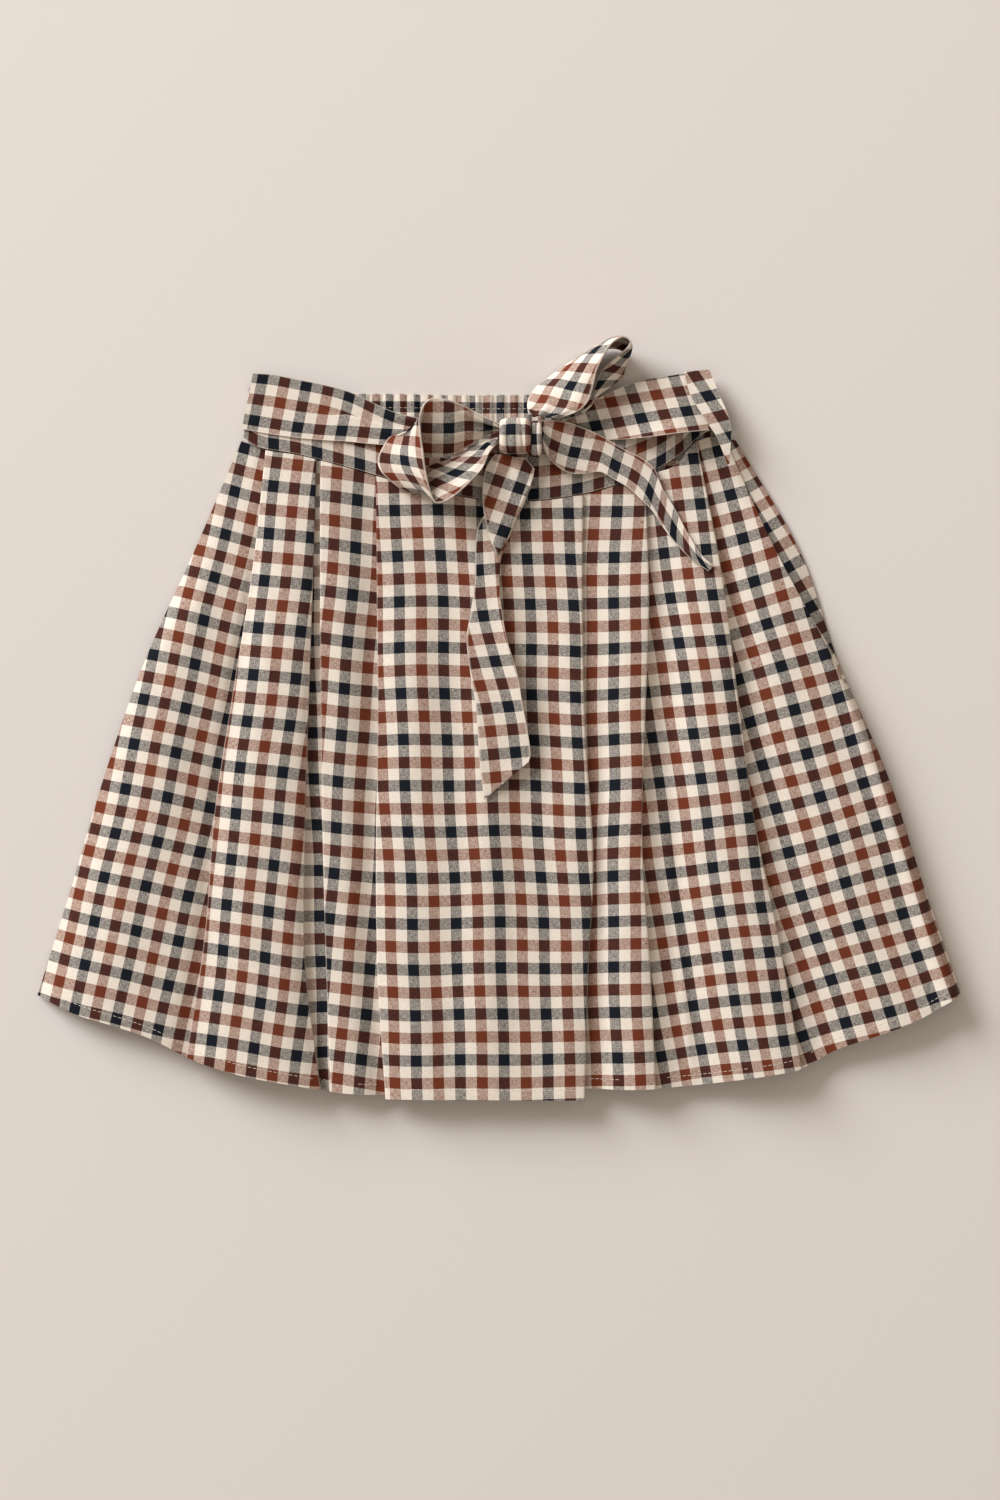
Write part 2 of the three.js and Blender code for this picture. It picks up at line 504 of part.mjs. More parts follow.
// Flat sash length; where its lengthwise pleat has closed, the lower strip stands over the upper one
function sashLength(name, rows, count) {
  const acrossSteps = 8;
  const grid = stations(rows, count).map((row) =>
    Array.from({ length: acrossSteps + 1 }, (_, j) => {
      const t = j / acrossSteps;
      const x = lerp(row.topX, row.bottomX, t);
      const step = SASH_PLEAT_STEP * row.pleat * smoothstep(t, SASH_PLEAT_AT - 0.1, SASH_PLEAT_AT + 0.1);
      return new THREE.Vector3(x, lerp(row.topY, row.bottomY, t), sashBase(x) + step + row.lift * t);
    }));
  return mesh(name, wallAbout(grid.map((row) => row.reverse()), SASH_WALL));
}

// Strip over the sash at the right side
function sashLoopRight() {
  const acrossSteps = 4;
  const overSash = SASH_WALL + SEAM_GAP + 0.1;
  const grid = stations(SASH_LOOP_RIGHT, 11).map((row) =>
    Array.from({ length: acrossSteps + 1 }, (_, j) => {
      const t = j / acrossSteps;
      const x = lerp(row.topX, row.bottomX, t);
      return new THREE.Vector3(x, lerp(row.topY, row.bottomY, t), sashBase(x) + overSash + row.lift);
    }));
  return mesh('sash_loop_right', wallAbout(grid, SASH_WALL));
}

// How high the soft pleats lift a row of points that lies across the skirt
function liftOverSkirt(row) {
  const rises = row.map((p) => {
    const seamY = read(FRONT_SEAM, 'x', 'y', p.x);
    const s = clamp((seamY - p.y) / (seamY - HEM_CENTRE[0].y), 0, 1);
    return frontRise(p.x, s);
  });
  return Math.max(...rises);
}

// Ribbon between its two long edges, cupped a little across its width
function ribbon(rows, count, cup) {
  const acrossSteps = 5;
  const middles = stations(rows, count).map((row) => ({
    near: new THREE.Vector3(row.nearX, row.nearY, row.nearZ),
    far: new THREE.Vector3(row.farX, row.farY, row.farZ),
  }));
  const centres = middles.map((m) => m.near.clone().lerp(m.far, 0.5));
  const grid = middles.map((m, i) => {
    const along = centres[Math.min(i + 1, count - 1)].clone().sub(centres[Math.max(i - 1, 0)]);
    const outward = along.cross(m.far.clone().sub(m.near)).normalize();
    return Array.from({ length: acrossSteps + 1 }, (_, j) => {
      const t = j / acrossSteps;
      return m.near.clone().lerp(m.far, t).addScaledVector(outward, cup * Math.sin(Math.PI * t));
    });
  });
  return grid;
}

function bowLoop(name, rows) {
  return mesh(name, wallAbout(ribbon(rows, LOOP_STATIONS, LOOP_CUP), SASH_WALL));
}

// Tail that lies on the skirt, level across its width
function bowTail(name, rows, count) {
  const grid = ribbon(rows, count, 0).map((row) => {
    const lift = liftOverSkirt(row);
    return row.map((p) => p.setZ(p.z + lift));
  });
  return mesh(name, wallAbout(grid, SASH_WALL));
}

// Rounded lump of folded cloth that fills a box: a sphere squared off towards the box's sides
function lump(name, box) {
  const geometry = new THREE.SphereGeometry(1, 20, 12);
  const squared = (v) => Math.sign(v) * Math.abs(v) ** 0.6;
  const place = geometry.attributes.position;
  for (let k = 0; k < place.count; k += 1) {
    const x = squared(place.getX(k));
    const y = squared(place.getY(k));
    const z = squared(place.getZ(k));
    place.setXYZ(
      k,
      lerp(box.left, box.right, (x + 1) / 2),
      lerp(box.bottom, box.top, (y + 1) / 2),
      lerp(box.low, box.high, (z + 1) / 2),
    );
  }
  geometry.computeVertexNormals();
  return mesh(name, geometry);
}

const skort = new THREE.Group();
skort.add(
  skirtBack(),
  waistbandBack(),
  shortsLeg('shorts_leg_left', -1),
  shortsLeg('shorts_leg_right', 1),
  skirtFrontLeft(),
  skirtFrontCentre(),
  skirtFrontRight(),
  waistbandFront(),
  sashLength('sash_left', SASH_LEFT, 20),
  sashLength('sash_right', SASH_RIGHT, 14),
  sashLoopRight(),
  bowLoop('bow_loop_left', LOOP_LEFT),
  bowLoop('bow_loop_right', LOOP_RIGHT),
  bowTail('bow_tail_left', TAIL_LEFT, 36),
  bowTail('bow_tail_right', TAIL_RIGHT, 26),
  lump('bow_knot', KNOT),
  lump('bow_wrap', WRAP),
);

export default skort;
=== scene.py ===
# Skort laid flat: a pleated gingham skirt over plain inner shorts, with an elastic back waistband,
# a shaped front waistband and a sash tied in a bow.
# Sizes of the cloth are in millimetres about the middle of the garment, as on a pattern sheet,
# and the meshes are in metres.
import math

import bpy
import numpy as np
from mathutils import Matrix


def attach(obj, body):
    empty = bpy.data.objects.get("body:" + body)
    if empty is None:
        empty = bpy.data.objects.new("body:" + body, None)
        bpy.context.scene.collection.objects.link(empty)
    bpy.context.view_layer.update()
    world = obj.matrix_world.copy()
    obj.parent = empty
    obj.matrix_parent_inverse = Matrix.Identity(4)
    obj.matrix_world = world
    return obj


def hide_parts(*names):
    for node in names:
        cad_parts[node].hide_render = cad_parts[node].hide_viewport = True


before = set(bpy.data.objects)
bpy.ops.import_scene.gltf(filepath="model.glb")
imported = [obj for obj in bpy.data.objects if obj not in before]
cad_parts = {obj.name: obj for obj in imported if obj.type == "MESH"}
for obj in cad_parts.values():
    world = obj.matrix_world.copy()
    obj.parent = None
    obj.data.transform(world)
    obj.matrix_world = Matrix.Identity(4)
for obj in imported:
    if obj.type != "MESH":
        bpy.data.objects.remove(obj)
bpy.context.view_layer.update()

# Camera, straight above the garment, as a copy stand holds it.
# The upright picture is 862.5 mm tall at the cloth, and its middle lies a little towards the hem.
PICTURE_HEIGHT = 0.8625
PICTURE_MIDDLE = (0.0006, -0.0172)
CAMERA_HEIGHT = 2.4
camera_data = bpy.data.cameras.new("camera")
camera_data.lens = camera_data.sensor_width * CAMERA_HEIGHT / PICTURE_HEIGHT
camera_data.clip_end = 20
camera = bpy.data.objects.new("camera", camera_data)
camera.location = (*PICTURE_MIDDLE, CAMERA_HEIGHT)
bpy.context.collection.objects.link(camera)
bpy.context.scene.camera = camera
bpy.context.scene.view_settings.view_transform = "Standard"

# Gingham: plain woven cotton with cream, navy, cream and rust stripes in both warp and weft.
# A repeat of the four stripes is 25.4 mm, and the UV map counts repeats, so each stripe is a quarter.
REPEAT = 25.4
CREAM = (0.790, 0.690, 0.585)
NAVY = (0.0088, 0.0112, 0.0160)
RUST = (0.150, 0.0345, 0.0150)
STRIPES = [CREAM, NAVY, CREAM, RUST]
STRIPE_TONES = [1.0, 0.0, 1.0, 0.4]
# Repeats at the middle of a navy cell
NAVY_CELL = (0.375, 0.375)
SLUB_ACROSS = 52
SLUB_ALONG = 12
SLUB_CONTRAST = 0.85
YARN_BLEND = 0.69
DARK_YARN_PULL = 0.04
# Contrast and darkest value of the broad unevenness and of the fine flecks
WEAR_SHADE = (0.16, 0.92)
FLECK_SHADE = (0.30, 0.70)
# Places of the two colours and of the result among a colour mix's sockets
MIX_FIRST, MIX_SECOND, MIX_RESULT = 6, 7, 2


def new_material(name):
    """A material with nodes, and the shader in it."""
    material = bpy.data.materials.new(name)
    material.use_nodes = True
    return material, material.node_tree.nodes["Principled BSDF"]


def feed(node, inputs):
    """Give each named input another node's socket or a plain value."""
    for key, value in inputs.items():
        if isinstance(value, bpy.types.NodeSocket):
            node.id_data.links.new(value, node.inputs[key])
        else:
            node.inputs[key].default_value = value


def add_node(tree, kind, inputs=None, **settings):
    node = tree.nodes.new(kind)
    for key, value in settings.items():
        setattr(node, key, value)
    feed(node, inputs or {})
    return node


def maths(tree, operation, *values):
    """Result of a math node, from sockets or plain numbers."""
    return add_node(tree, "ShaderNodeMath", dict(enumerate(values)), operation=operation).outputs[0]


def mix_colours(tree, factor, first, second, blend_type="MIX"):
    """Result of a colour mix, from sockets or plain values."""
    inputs = {"Factor": factor, MIX_FIRST: first, MIX_SECOND: second}
    mix = add_node(tree, "ShaderNodeMix", data_type="RGBA", blend_type=blend_type, inputs=inputs)
    return mix.outputs[MIX_RESULT]


def yarn_ramp(tree, coordinate, colours):
    """Stripe colours along one direction of the cloth, in hard steps."""
    ramp = add_node(tree, "ShaderNodeValToRGB", {"Fac": maths(tree, "FRACT", coordinate)})
    ramp.color_ramp.interpolation = "CONSTANT"
    stops = ramp.color_ramp.elements
    while len(stops) < len(colours):
        stops.new(1.0)
    for k, colour in enumerate(colours):
        stops[k].position = k / len(colours)
        stops[k].color = (*colour, 1)
    return ramp.outputs["Color"]


def slub(tree, x, y, stretch_x, stretch_y):
    """Uneven yarn thickness: noise drawn out along the yarn."""
    across, along = maths(tree, "MULTIPLY", x, stretch_x), maths(tree, "MULTIPLY", y, stretch_y)
    place = add_node(tree, "ShaderNodeCombineXYZ", {"X": across, "Y": along})
    noise = {"Vector": place.outputs[0], "Scale": 1.0, "Detail": 2.0, "Roughness": 0.6}
    return add_node(tree, "ShaderNodeTexNoise", noise).outputs["Fac"]


def make_gingham_group():
    """Colour and yarn height of the check at a place given in repeats."""
    group = bpy.data.node_groups.new("yarn_dyed_check", "ShaderNodeTree")
    sockets = [("Repeats", "INPUT", "Vector"), ("Color", "OUTPUT", "Color"), ("Height", "OUTPUT", "Float")]
    for name, way, kind in sockets:
        group.interface.new_socket(name, in_out=way, socket_type=f"NodeSocket{kind}")
    repeats = add_node(group, "NodeGroupInput").outputs["Repeats"]
    split = add_node(group, "ShaderNodeSeparateXYZ", {0: repeats})
    x, y = split.outputs["X"], split.outputs["Y"]
    colours = [tuple(value ** YARN_BLEND for value in colour) for colour in STRIPES]
    tones = [(tone,) * 3 for tone in STRIPE_TONES]
    warp, weft = yarn_ramp(group, x, colours), yarn_ramp(group, y, colours)
    warp_tone, weft_tone = yarn_ramp(group, x, tones), yarn_ramp(group, y, tones)
    warp_slub = slub(group, x, y, SLUB_ACROSS, SLUB_ALONG)
    weft_slub = slub(group, x, y, SLUB_ALONG, SLUB_ACROSS)
    pull = maths(group, "MULTIPLY", maths(group, "SUBTRACT", warp_tone, weft_tone), DARK_YARN_PULL)
    uneven = maths(group, "MULTIPLY", maths(group, "SUBTRACT", warp_slub, weft_slub), SLUB_CONTRAST)
    share = maths(group, "ADD", maths(group, "ADD", pull, uneven), 0.5)
    blend = mix_colours(group, share, warp, weft)
    opened = add_node(group, "ShaderNodeGamma", {"Color": blend, "Gamma": 1 / YARN_BLEND})
    tone_shift = add_node(group, "ShaderNodeTexNoise", {"Vector": repeats, "Scale": 1.7, "Detail": 3.0})
    light = maths(group, "MULTIPLY_ADD", tone_shift.outputs["Fac"], *WEAR_SHADE)
    yarns = maths(group, "ADD", warp_slub, weft_slub)
    shade = maths(group, "MULTIPLY", light, maths(group, "MULTIPLY_ADD", yarns, *FLECK_SHADE))
    tint = add_node(group, "ShaderNodeCombineColor", {"Red": shade, "Green": shade, "Blue": shade})
    colour = mix_colours(group, 1.0, opened.outputs["Color"], tint.outputs[0], "MULTIPLY")
    add_node(group, "NodeGroupOutput", {"Color": colour, "Height": yarns})
    return group


def make_gingham():
    """Gingham cloth: matt, with a faint nap, the yarns' unevenness as relief and a painted highlight that
    pales its pressed edges and folds towards cream.
    """
    material, surface = new_material("gingham")
    tree = material.node_tree
    repeats = add_node(tree, "ShaderNodeUVMap", uv_map="check").outputs["UV"]
    check = add_node(tree, "ShaderNodeGroup", {"Repeats": repeats}, node_tree=make_gingham_group())
    # Painted highlight: a point attribute that pales the check towards cream on pressed edges and folds.
    painted_highlight = add_node(tree, "ShaderNodeAttribute", attribute_name="painted_highlight").outputs["Fac"]
    relief = {"Strength": 0.25, "Distance": 0.0003, "Height": check.outputs["Height"]}
    feed(surface, {
        "Base Color": mix_colours(tree, painted_highlight, check.outputs["Color"], (*CREAM, 1)),
        "Normal": add_node(tree, "ShaderNodeBump", relief).outputs["Normal"],
        "Roughness": 0.88, "Specular IOR Level": 0.08, "Sheen Weight": 0.02, "Sheen Roughness": 0.5,
    })
    return material


gingham = make_gingham()

# Sheets of cloth: every piece below is a grid of points with its check laid on in repeats.
# Rows run down the piece and columns across it, and the sheet gets its thickness at the end.
MM = 0.001
CLOTH = 0.45


def lerp(a, b, t):
    return a + (b - a) * t


def smooth(value, low=0.0, high=1.0):
    """Soft step from 0 at low to 1 at high."""
    t = np.clip((np.asarray(value, float) - low) / (high - low), 0, 1)
    return t * t * (3 - 2 * t)


def bump_at(value, middle, width):
    """Soft ridge of height 1 about a middle."""
    return np.exp(-(((np.asarray(value, float) - middle) / width) ** 2))


def squared(wave, power):
    """A sine or cosine with its rounds flattened towards a square."""
    return np.sign(wave) * np.abs(wave) ** power


def read(places, values, at):
    """Smooth curve through a short table's values, read at one or more places."""
    places, values = np.asarray(places, float), np.asarray(values, float)
    slopes = np.gradient(values, places)
    at = np.clip(at, places[0], places[-1])
    k = np.clip(np.searchsorted(places, at, side="right") - 1, 0, len(places) - 2)
    span = places[k + 1] - places[k]
    t = (at - places[k]) / span
    t2, t3 = t * t, t * t * t
    ends = (2 * t3 - 3 * t2 + 1) * values[k] + (3 * t2 - 2 * t3) * values[k + 1]
    return ends + ((t3 - 2 * t2 + t) * slopes[k] + (t3 - t2) * slopes[k + 1]) * span


def read_columns(rows, at):
    """Each column of a table with evenly spaced rows, read at places from 0 to 1."""
    stations = np.linspace(0, 1, len(rows))
    return [read(stations, column, at) for column in zip(*rows)]


def grid_of(*fields):
    """Grid of points from one field for each of their values."""
    return np.stack(np.broadcast_arrays(*fields), axis=-1)


def arc_of(rail):
    """Length along a rail of points, from its start."""
    return np.concatenate([[0], np.cumsum(np.linalg.norm(np.diff(rail, axis=0), axis=-1))])


def new_piece(name, points, faces, material):
    """An object from points in mm and faces, selected alone."""
    mesh = bpy.data.meshes.new(name)
    mesh.from_pydata((points.reshape(-1, 3) * MM).tolist(), [], faces)
    mesh.materials.append(material)
    piece = bpy.data.objects.new(name, mesh)
    bpy.context.collection.objects.link(piece)
    bpy.ops.object.select_all(action="DESELECT")
    piece.select_set(True)
    bpy.context.view_layer.objects.active = piece
    return piece


def edit_whole(operation, **settings):
    """One mesh operation on all of the selected piece."""
    bpy.ops.object.mode_set(mode="EDIT")
    bpy.ops.mesh.select_all(action="SELECT")
    operation(**settings)
    bpy.ops.object.mode_set(mode="OBJECT")


def apply_modifier(piece, kind, **settings):
    modifier = piece.modifiers.new(kind.lower(), kind)
    for key, value in settings.items():
        setattr(modifier, key, value)
    bpy.ops.object.modifier_apply(modifier=modifier.name)


def add_sheet(name, grid, check, thickness=CLOTH, closed=False, rounded=0.0, painted_highlight=None):
    """A sheet from a grid in mm and the check at its points.
    """
    left, right = check if isinstance(check, tuple) else (check[:, :-1], check[:, 1:])
    rows, columns = grid.shape[:2]
    index = np.arange(rows * columns).reshape(rows, columns)
    if closed:
        index[:, -1] = index[:, 0]
    quads = grid_of(index[:-1, :-1], index[1:, :-1], index[1:, 1:], index[:-1, 1:])
    piece = new_piece(name, grid, quads.reshape(-1, 4).tolist(), gingham)
    corners = np.stack([left[:-1], left[1:], right[1:], right[:-1]], axis=2)
    piece.data.uv_layers.new(name="check").data.foreach_set("uv", corners.reshape(-1))
    # Painted highlight: a point attribute that pales the colour towards cream, read by the gingham material.
    if painted_highlight is not None:
        tone_shift = piece.data.attributes.new("painted_highlight", "FLOAT", "POINT")
        tone_shift.data.foreach_set("value", painted_highlight.reshape(-1).astype(np.float32))
    if closed:
        edit_whole(bpy.ops.mesh.delete_loose)
    apply_modifier(piece, "SOLIDIFY", thickness=thickness * MM, offset=0)
    if rounded:
        apply_modifier(piece, "BEVEL", width=rounded * MM, segments=2, limit_method="ANGLE",
                       angle_limit=math.radians(55))
    bpy.ops.object.shade_smooth_by_angle(angle=math.radians(50))
    return piece


def straight_check(x, y, middle, origin, across, down):
    """Repeats of a check laid straight on a panel: the steps to the next repeat across and down."""
    det = across[0] * down[1] - across[1] * down[0]
    dx, dy = x - middle[0], y - middle[1]
    u = (dx * down[1] - dy * down[0]) / det + origin[0]
    v = (dy * across[0] - dx * across[1]) / det + origin[1]
    return grid_of(u, v)


def plain_check(x, y):
    """The check laid square to the garment."""
    return straight_check(x, y, (0, 0), (0, 0), (REPEAT, 0), (0, -REPEAT))


# Stitching: ecru cotton thread in runs of separate stitches near the edges.
# Each stitch is a short rounded bar that goes through the cloth and shows on both of its faces.
STITCH_STEP = 3.0
STITCH_LENGTH = 2.5
STITCH_HALF_WIDTH = 0.22
STITCH_SIDES = 6
# Rings of a stitch: place along its length and size
STITCH_RINGS = [(0, 0.45), (0.2, 1), (0.8, 1), (1, 0.45)]
THREAD_COLOUR = (0.80, 0.70, 0.56)
THREAD_SHADE = 0.8


def make_thread():
    """Twisted cotton thread: matt ecru, uneven in tone, with the ply as fine relief."""
    material, surface = new_material("thread")
    tree = material.node_tree
    place = add_node(tree, "ShaderNodeTexCoord").outputs["Object"]
    tone = add_node(tree, "ShaderNodeTexNoise", {"Vector": place, "Scale": 400.0, "Detail": 2.0})
    ramp = add_node(tree, "ShaderNodeValToRGB", {"Fac": tone.outputs["Fac"]})
    ramp.color_ramp.elements[0].color = (*(THREAD_SHADE * value for value in THREAD_COLOUR), 1)
    ramp.color_ramp.elements[1].color = (*THREAD_COLOUR, 1)
    ply = add_node(tree, "ShaderNodeTexWave", {"Vector": place, "Scale": 900.0})
    relief = {"Strength": 0.3, "Distance": 0.0001, "Height": ply.outputs["Fac"]}
    normal = add_node(tree, "ShaderNodeBump", relief).outputs["Normal"]
    feed(surface, {"Base Color": ramp.outputs["Color"], "Normal": normal, "Roughness": 0.75,
                   "Specular IOR Level": 0.2})
    return material


thread = make_thread()


def unit(vectors):
    return vectors / (np.linalg.norm(vectors, axis=-1, keepdims=True) + 1e-9)


def sheet_normals(grid):
    """Direction out of a grid's face at each of its points."""
    return unit(np.cross(np.gradient(grid, axis=0), np.gradient(grid, axis=1)))


def stitch_line(rail, normals):
    """Middle points, directions and normals of the rings of every stitch along a rail."""
    arc = arc_of(rail)
    count = max(int((arc[-1] - STITCH_LENGTH) / STITCH_STEP), 0)
    begins = np.arange(count) * STITCH_STEP + 0.5 * (STITCH_STEP - STITCH_LENGTH)
    at = begins[:, None] + STITCH_LENGTH * np.array([ring[0] for ring in STITCH_RINGS])
    points = grid_of(*(np.interp(at, arc, rail[:, k]) for k in range(3)))
    upward = unit(grid_of(*(np.interp(at, arc, normals[:, k]) for k in range(3))))
    along = unit(points[:, -1:] - points[:, :1])
    return points, np.broadcast_to(along, points.shape), upward


def add_stitches(name, node, lines, half_height):
    """One mesh with all the stitches of a piece; half_height reaches out of both faces of its cloth."""
    parts = [stitch_line(rail, normals) for rail, normals in lines]
    points, along, upward = (np.concatenate(group)[:, :, None, :] for group in zip(*parts))
    turn = (np.arange(STITCH_SIDES) / STITCH_SIDES * 2 * np.pi)[:, None]
    size = np.array([ring[1] for ring in STITCH_RINGS])[:, None, None]
    aside = np.cross(along, upward) * np.cos(turn) * STITCH_HALF_WIDTH
    rings = points + (aside + upward * np.sin(turn) * half_height) * size
    index = np.arange(rings.size // 3).reshape(rings.shape[:3])
    after = np.roll(index, -1, axis=2)
    walls = grid_of(index[:, :-1], index[:, 1:], after[:, 1:], after[:, :-1]).reshape(-1, 4)
    ends = index[:, 0].tolist() + index[:, -1, ::-1].tolist()
    piece = new_piece(name, rings, walls.tolist() + ends, thread)
    edit_whole(bpy.ops.mesh.normals_make_consistent, inside=False)
    bpy.ops.object.shade_smooth_by_angle(angle=math.radians(60))
    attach(piece, "root")
    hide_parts(node)
    return piece


# Outline of the skirt and its folds, from the waist seam to the hem.
# Each line gives x at every fifth of the way down, and the edges give y across the garment.
LINES = {
    "side_left": (-147.8, -175, -203.5, -226, -245, -265),
    "fold_a": (-134, -141.5, -152.5, -163, -168.5, -179),
    "fold_b": (-104.6, -106.6, -109, -111, -110.8, -102),
    "fold_b2": (-102.5, -102.5, -102, -101, -99, -96.5),
    "fold_c": (-70.5, -70, -69.5, -70.5, -69.5, -65),
    "fold_d": (48.3, 48, 49.6, 54, 51, 49),
    "fold_d2": (84, 86, 83.7, 82, 86.5, 89.7),
    "fold_e": (113.5, 127, 136.5, 146, 160.5, 173),
    "fold_f": (129, 158, 191.5, 219.5, 240.5, 262.5),
    "side_right": (136, 172.5, 194.7, 222.3, 243.2, 265),
}
FRONT_SEAM = [
    (-148, 161), (-136.5, 156), (-114.5, 152), (-85.5, 144.5), (-57, 136.5), (-28, 129.5), (0.5, 125.5),
    (29.5, 126.5), (58, 132), (87, 141.5), (103, 148), (111, 158), (120, 162.5), (136, 161),
]
HEM_LEFT = [
    (-265, -158), (-244, -168), (-221, -175), (-198, -183), (-179, -193), (-152, -202), (-117, -209),
    (-94, -213), (-20, -214),
]
HEM_CENTRE = [(-70, -217), (50, -217.6)]
HEM_RIGHT = [
    (10, -209), (90, -211), (113, -209), (136, -206), (159, -202.5), (173, -199.5), (193, -189), (216, -181),
    (239, -172), (265, -156.5),
]
HEM_BACK = [
    (-265, -157), (-221, -173), (-179, -190), (-117, -206), (0, -211), (90, -208), (159, -200), (216, -179),
    (265, -155.5),
]
SKIRT_ROWS = 121
way_down = np.linspace(0, 1, SKIRT_ROWS)


def line_x(name, part):
    return read(np.linspace(0, 1, 6), LINES[name], part)


def edge_y(edge, x):
    return read(*zip(*edge), x)


# Skirt back: one plain flared panel of gingham, seamed to the front at the sides.
# It lies flat on the surface, so its underside is level.
BACK_COLUMNS = 60
BACK_SEAM_Y = 149.6
BACK_MIDDLE_Z = 0.45
BACK_CLOTH = 0.8
BACK_INSET = 0.8


def make_skirt_back():
    left = line_x("side_left", way_down) + BACK_INSET
    right = line_x("side_right", way_down) - BACK_INSET
    across = np.linspace(0, 1, BACK_COLUMNS)
    x = lerp(left[:, None], right[:, None], across)
    hem = edge_y(HEM_BACK, lerp(LINES["side_left"][-1], LINES["side_right"][-1], across))
    y = lerp(BACK_SEAM_Y, hem, way_down[:, None])
    return add_sheet("skirt_back_cloth", grid_of(x, y, BACK_MIDDLE_Z), plain_check(x, y), BACK_CLOTH)


skirt_back = make_skirt_back()
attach(skirt_back, "root")
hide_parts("skirt_back")

# Inner shorts: two plain legs of the same gingham, laid flat between the skirt's back and front.
# Each leg is a tube folded at its two sides, open at the waist and at the hem.
# Rows down a leg: y, then its inner and outer edges from the middle
SHORTS_LEG = [
    (149, 0.4, 103), (100, 0.4, 123), (40, 0.4, 139), (-45, 0.4, 147), (-82, 12, 149), (-118, 24, 151),
]
SHORTS_MIDDLE_Z = 2.75
SHORTS_HALF_HEIGHT = 0.85
SHORTS_ROWS = 40
SHORTS_COLUMNS = 81
SHORTS_FLATNESS = 0.35


def make_shorts_leg(name, side):
    tops, inner, outer = (np.array(column) for column in zip(*SHORTS_LEG))
    rows = np.linspace(tops[0], tops[-1], SHORTS_ROWS)[:, None]
    inner = np.maximum(read(-tops, inner, -rows), inner[0])
    outer = read(-tops, outer, -rows)
    turn = np.linspace(0, 2 * np.pi, SHORTS_COLUMNS)
    x = side * (inner + outer) / 2 + (outer - inner) / 2 * squared(np.cos(turn), SHORTS_FLATNESS)
    z = SHORTS_MIDDLE_Z + SHORTS_HALF_HEIGHT * squared(np.sin(turn), SHORTS_FLATNESS)
    grid = grid_of(x, rows, z)[:, ::-1]
    return add_sheet(name, grid, plain_check(grid[..., 0], grid[..., 1]), closed=True)


for side_name, side in (("left", -1), ("right", 1)):
    leg = make_shorts_leg(f"shorts_leg_{side_name}_cloth", side)
    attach(leg, "root")
    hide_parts(f"shorts_leg_{side_name}")

# Back waistband: a doubled strip gathered on elastic, so its inner face stands in upright flutes.
# A line of stitching closes the casing under its upper edge.
BACK_BAND_TOP = [
    (-139.5, 196.7), (-114.5, 193), (-85.5, 187.5), (-57, 187), (23.5, 186.5), (58, 187.5), (87, 192),
    (107, 195.5), (121.5, 196.3),
]
BACK_BAND_ROWS = 26
BACK_BAND_COLUMNS = 620
BACK_FLUTES = 36
BACK_BAND_CLOTH = 0.7
BACK_BAND_LOW_Z = 0.75
BACK_BAND_FOOT_Y = 150
CASING_LINE = 8
FLUTE_HEIGHT = 0.8
BAND_LEAN_LEFT, BAND_LEAN_RIGHT = -0.13, 0.15
BAND_WIDTH = 37
GATHERED_REPEATS_PER_MM = 0.063
CASING_STITCH_HALF_HEIGHT = 0.5


def make_waistband_back():
    across = np.linspace(0, 1, BACK_BAND_COLUMNS)
    depth = np.linspace(0, BAND_WIDTH, BACK_BAND_ROWS)[:, None]
    left = BACK_BAND_TOP[0][0] + BAND_LEAN_LEFT * depth
    right = BACK_BAND_TOP[-1][0] + BAND_LEAN_RIGHT * depth
    x = lerp(left, right, across)
    drift = 0.35 * np.sin(x / 11) + 0.25 * np.sin(x / 4.7 + 2)
    flutes = (across * BACK_FLUTES + 0.12 * drift) * 2 * np.pi
    wave = 0.5 - 0.5 * np.cos(flutes)
    finer = 0.5 + 0.5 * np.sin(across * BACK_FLUTES * 4.1 * np.pi + 1.3)
    stitched = 1 - 0.65 * bump_at(depth, CASING_LINE, 1.1)
    y = edge_y(BACK_BAND_TOP, x) - depth + 0.5 * wave * bump_at(depth, 0, 3)
    z = BACK_BAND_LOW_Z + (FLUTE_HEIGHT * wave + 0.18 * finer) * stitched
    grid = grid_of(x, np.maximum(y, BACK_BAND_FOOT_Y), z)
    u = x * GATHERED_REPEATS_PER_MM + 0.018 * np.sin(flutes) + 0.33
    return add_sheet("waistband_back_cloth", grid, grid_of(u, depth / REPEAT + 0.1), BACK_BAND_CLOTH), grid


waistband_back, band_grid = make_waistband_back()
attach(waistband_back, "root")
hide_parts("waistband_back")
casing_row = round(CASING_LINE / BAND_WIDTH * (BACK_BAND_ROWS - 1))
casing_line = (band_grid[casing_row], sheet_normals(band_grid)[casing_row])
casing = add_stitches("waistband_back_casing_stitches", "waistband_back", [casing_line],
                      CASING_STITCH_HALF_HEIGHT)

# Skirt front: three parts folded into pleats, each pressed along its folds and sewn flat at the waist.
# A section runs over the visible layer, turns under at a fold, doubles back and runs on beneath.
FRONT_AT_SIDE = 1.6
FRONT_IN_MIDDLE = 4.7
SIDE_ROLL = 40
PLEAT_DEPTH = (12, 28)
LAYER_STEP = (1.3, 1.6)
TURN_STEPS = 7
FRONT_CLOTH = 0.5
# Painted highlight at the round of each pressed fold: how far its colour is paled towards cream.
FOLD_HIGHLIGHT = 0.8
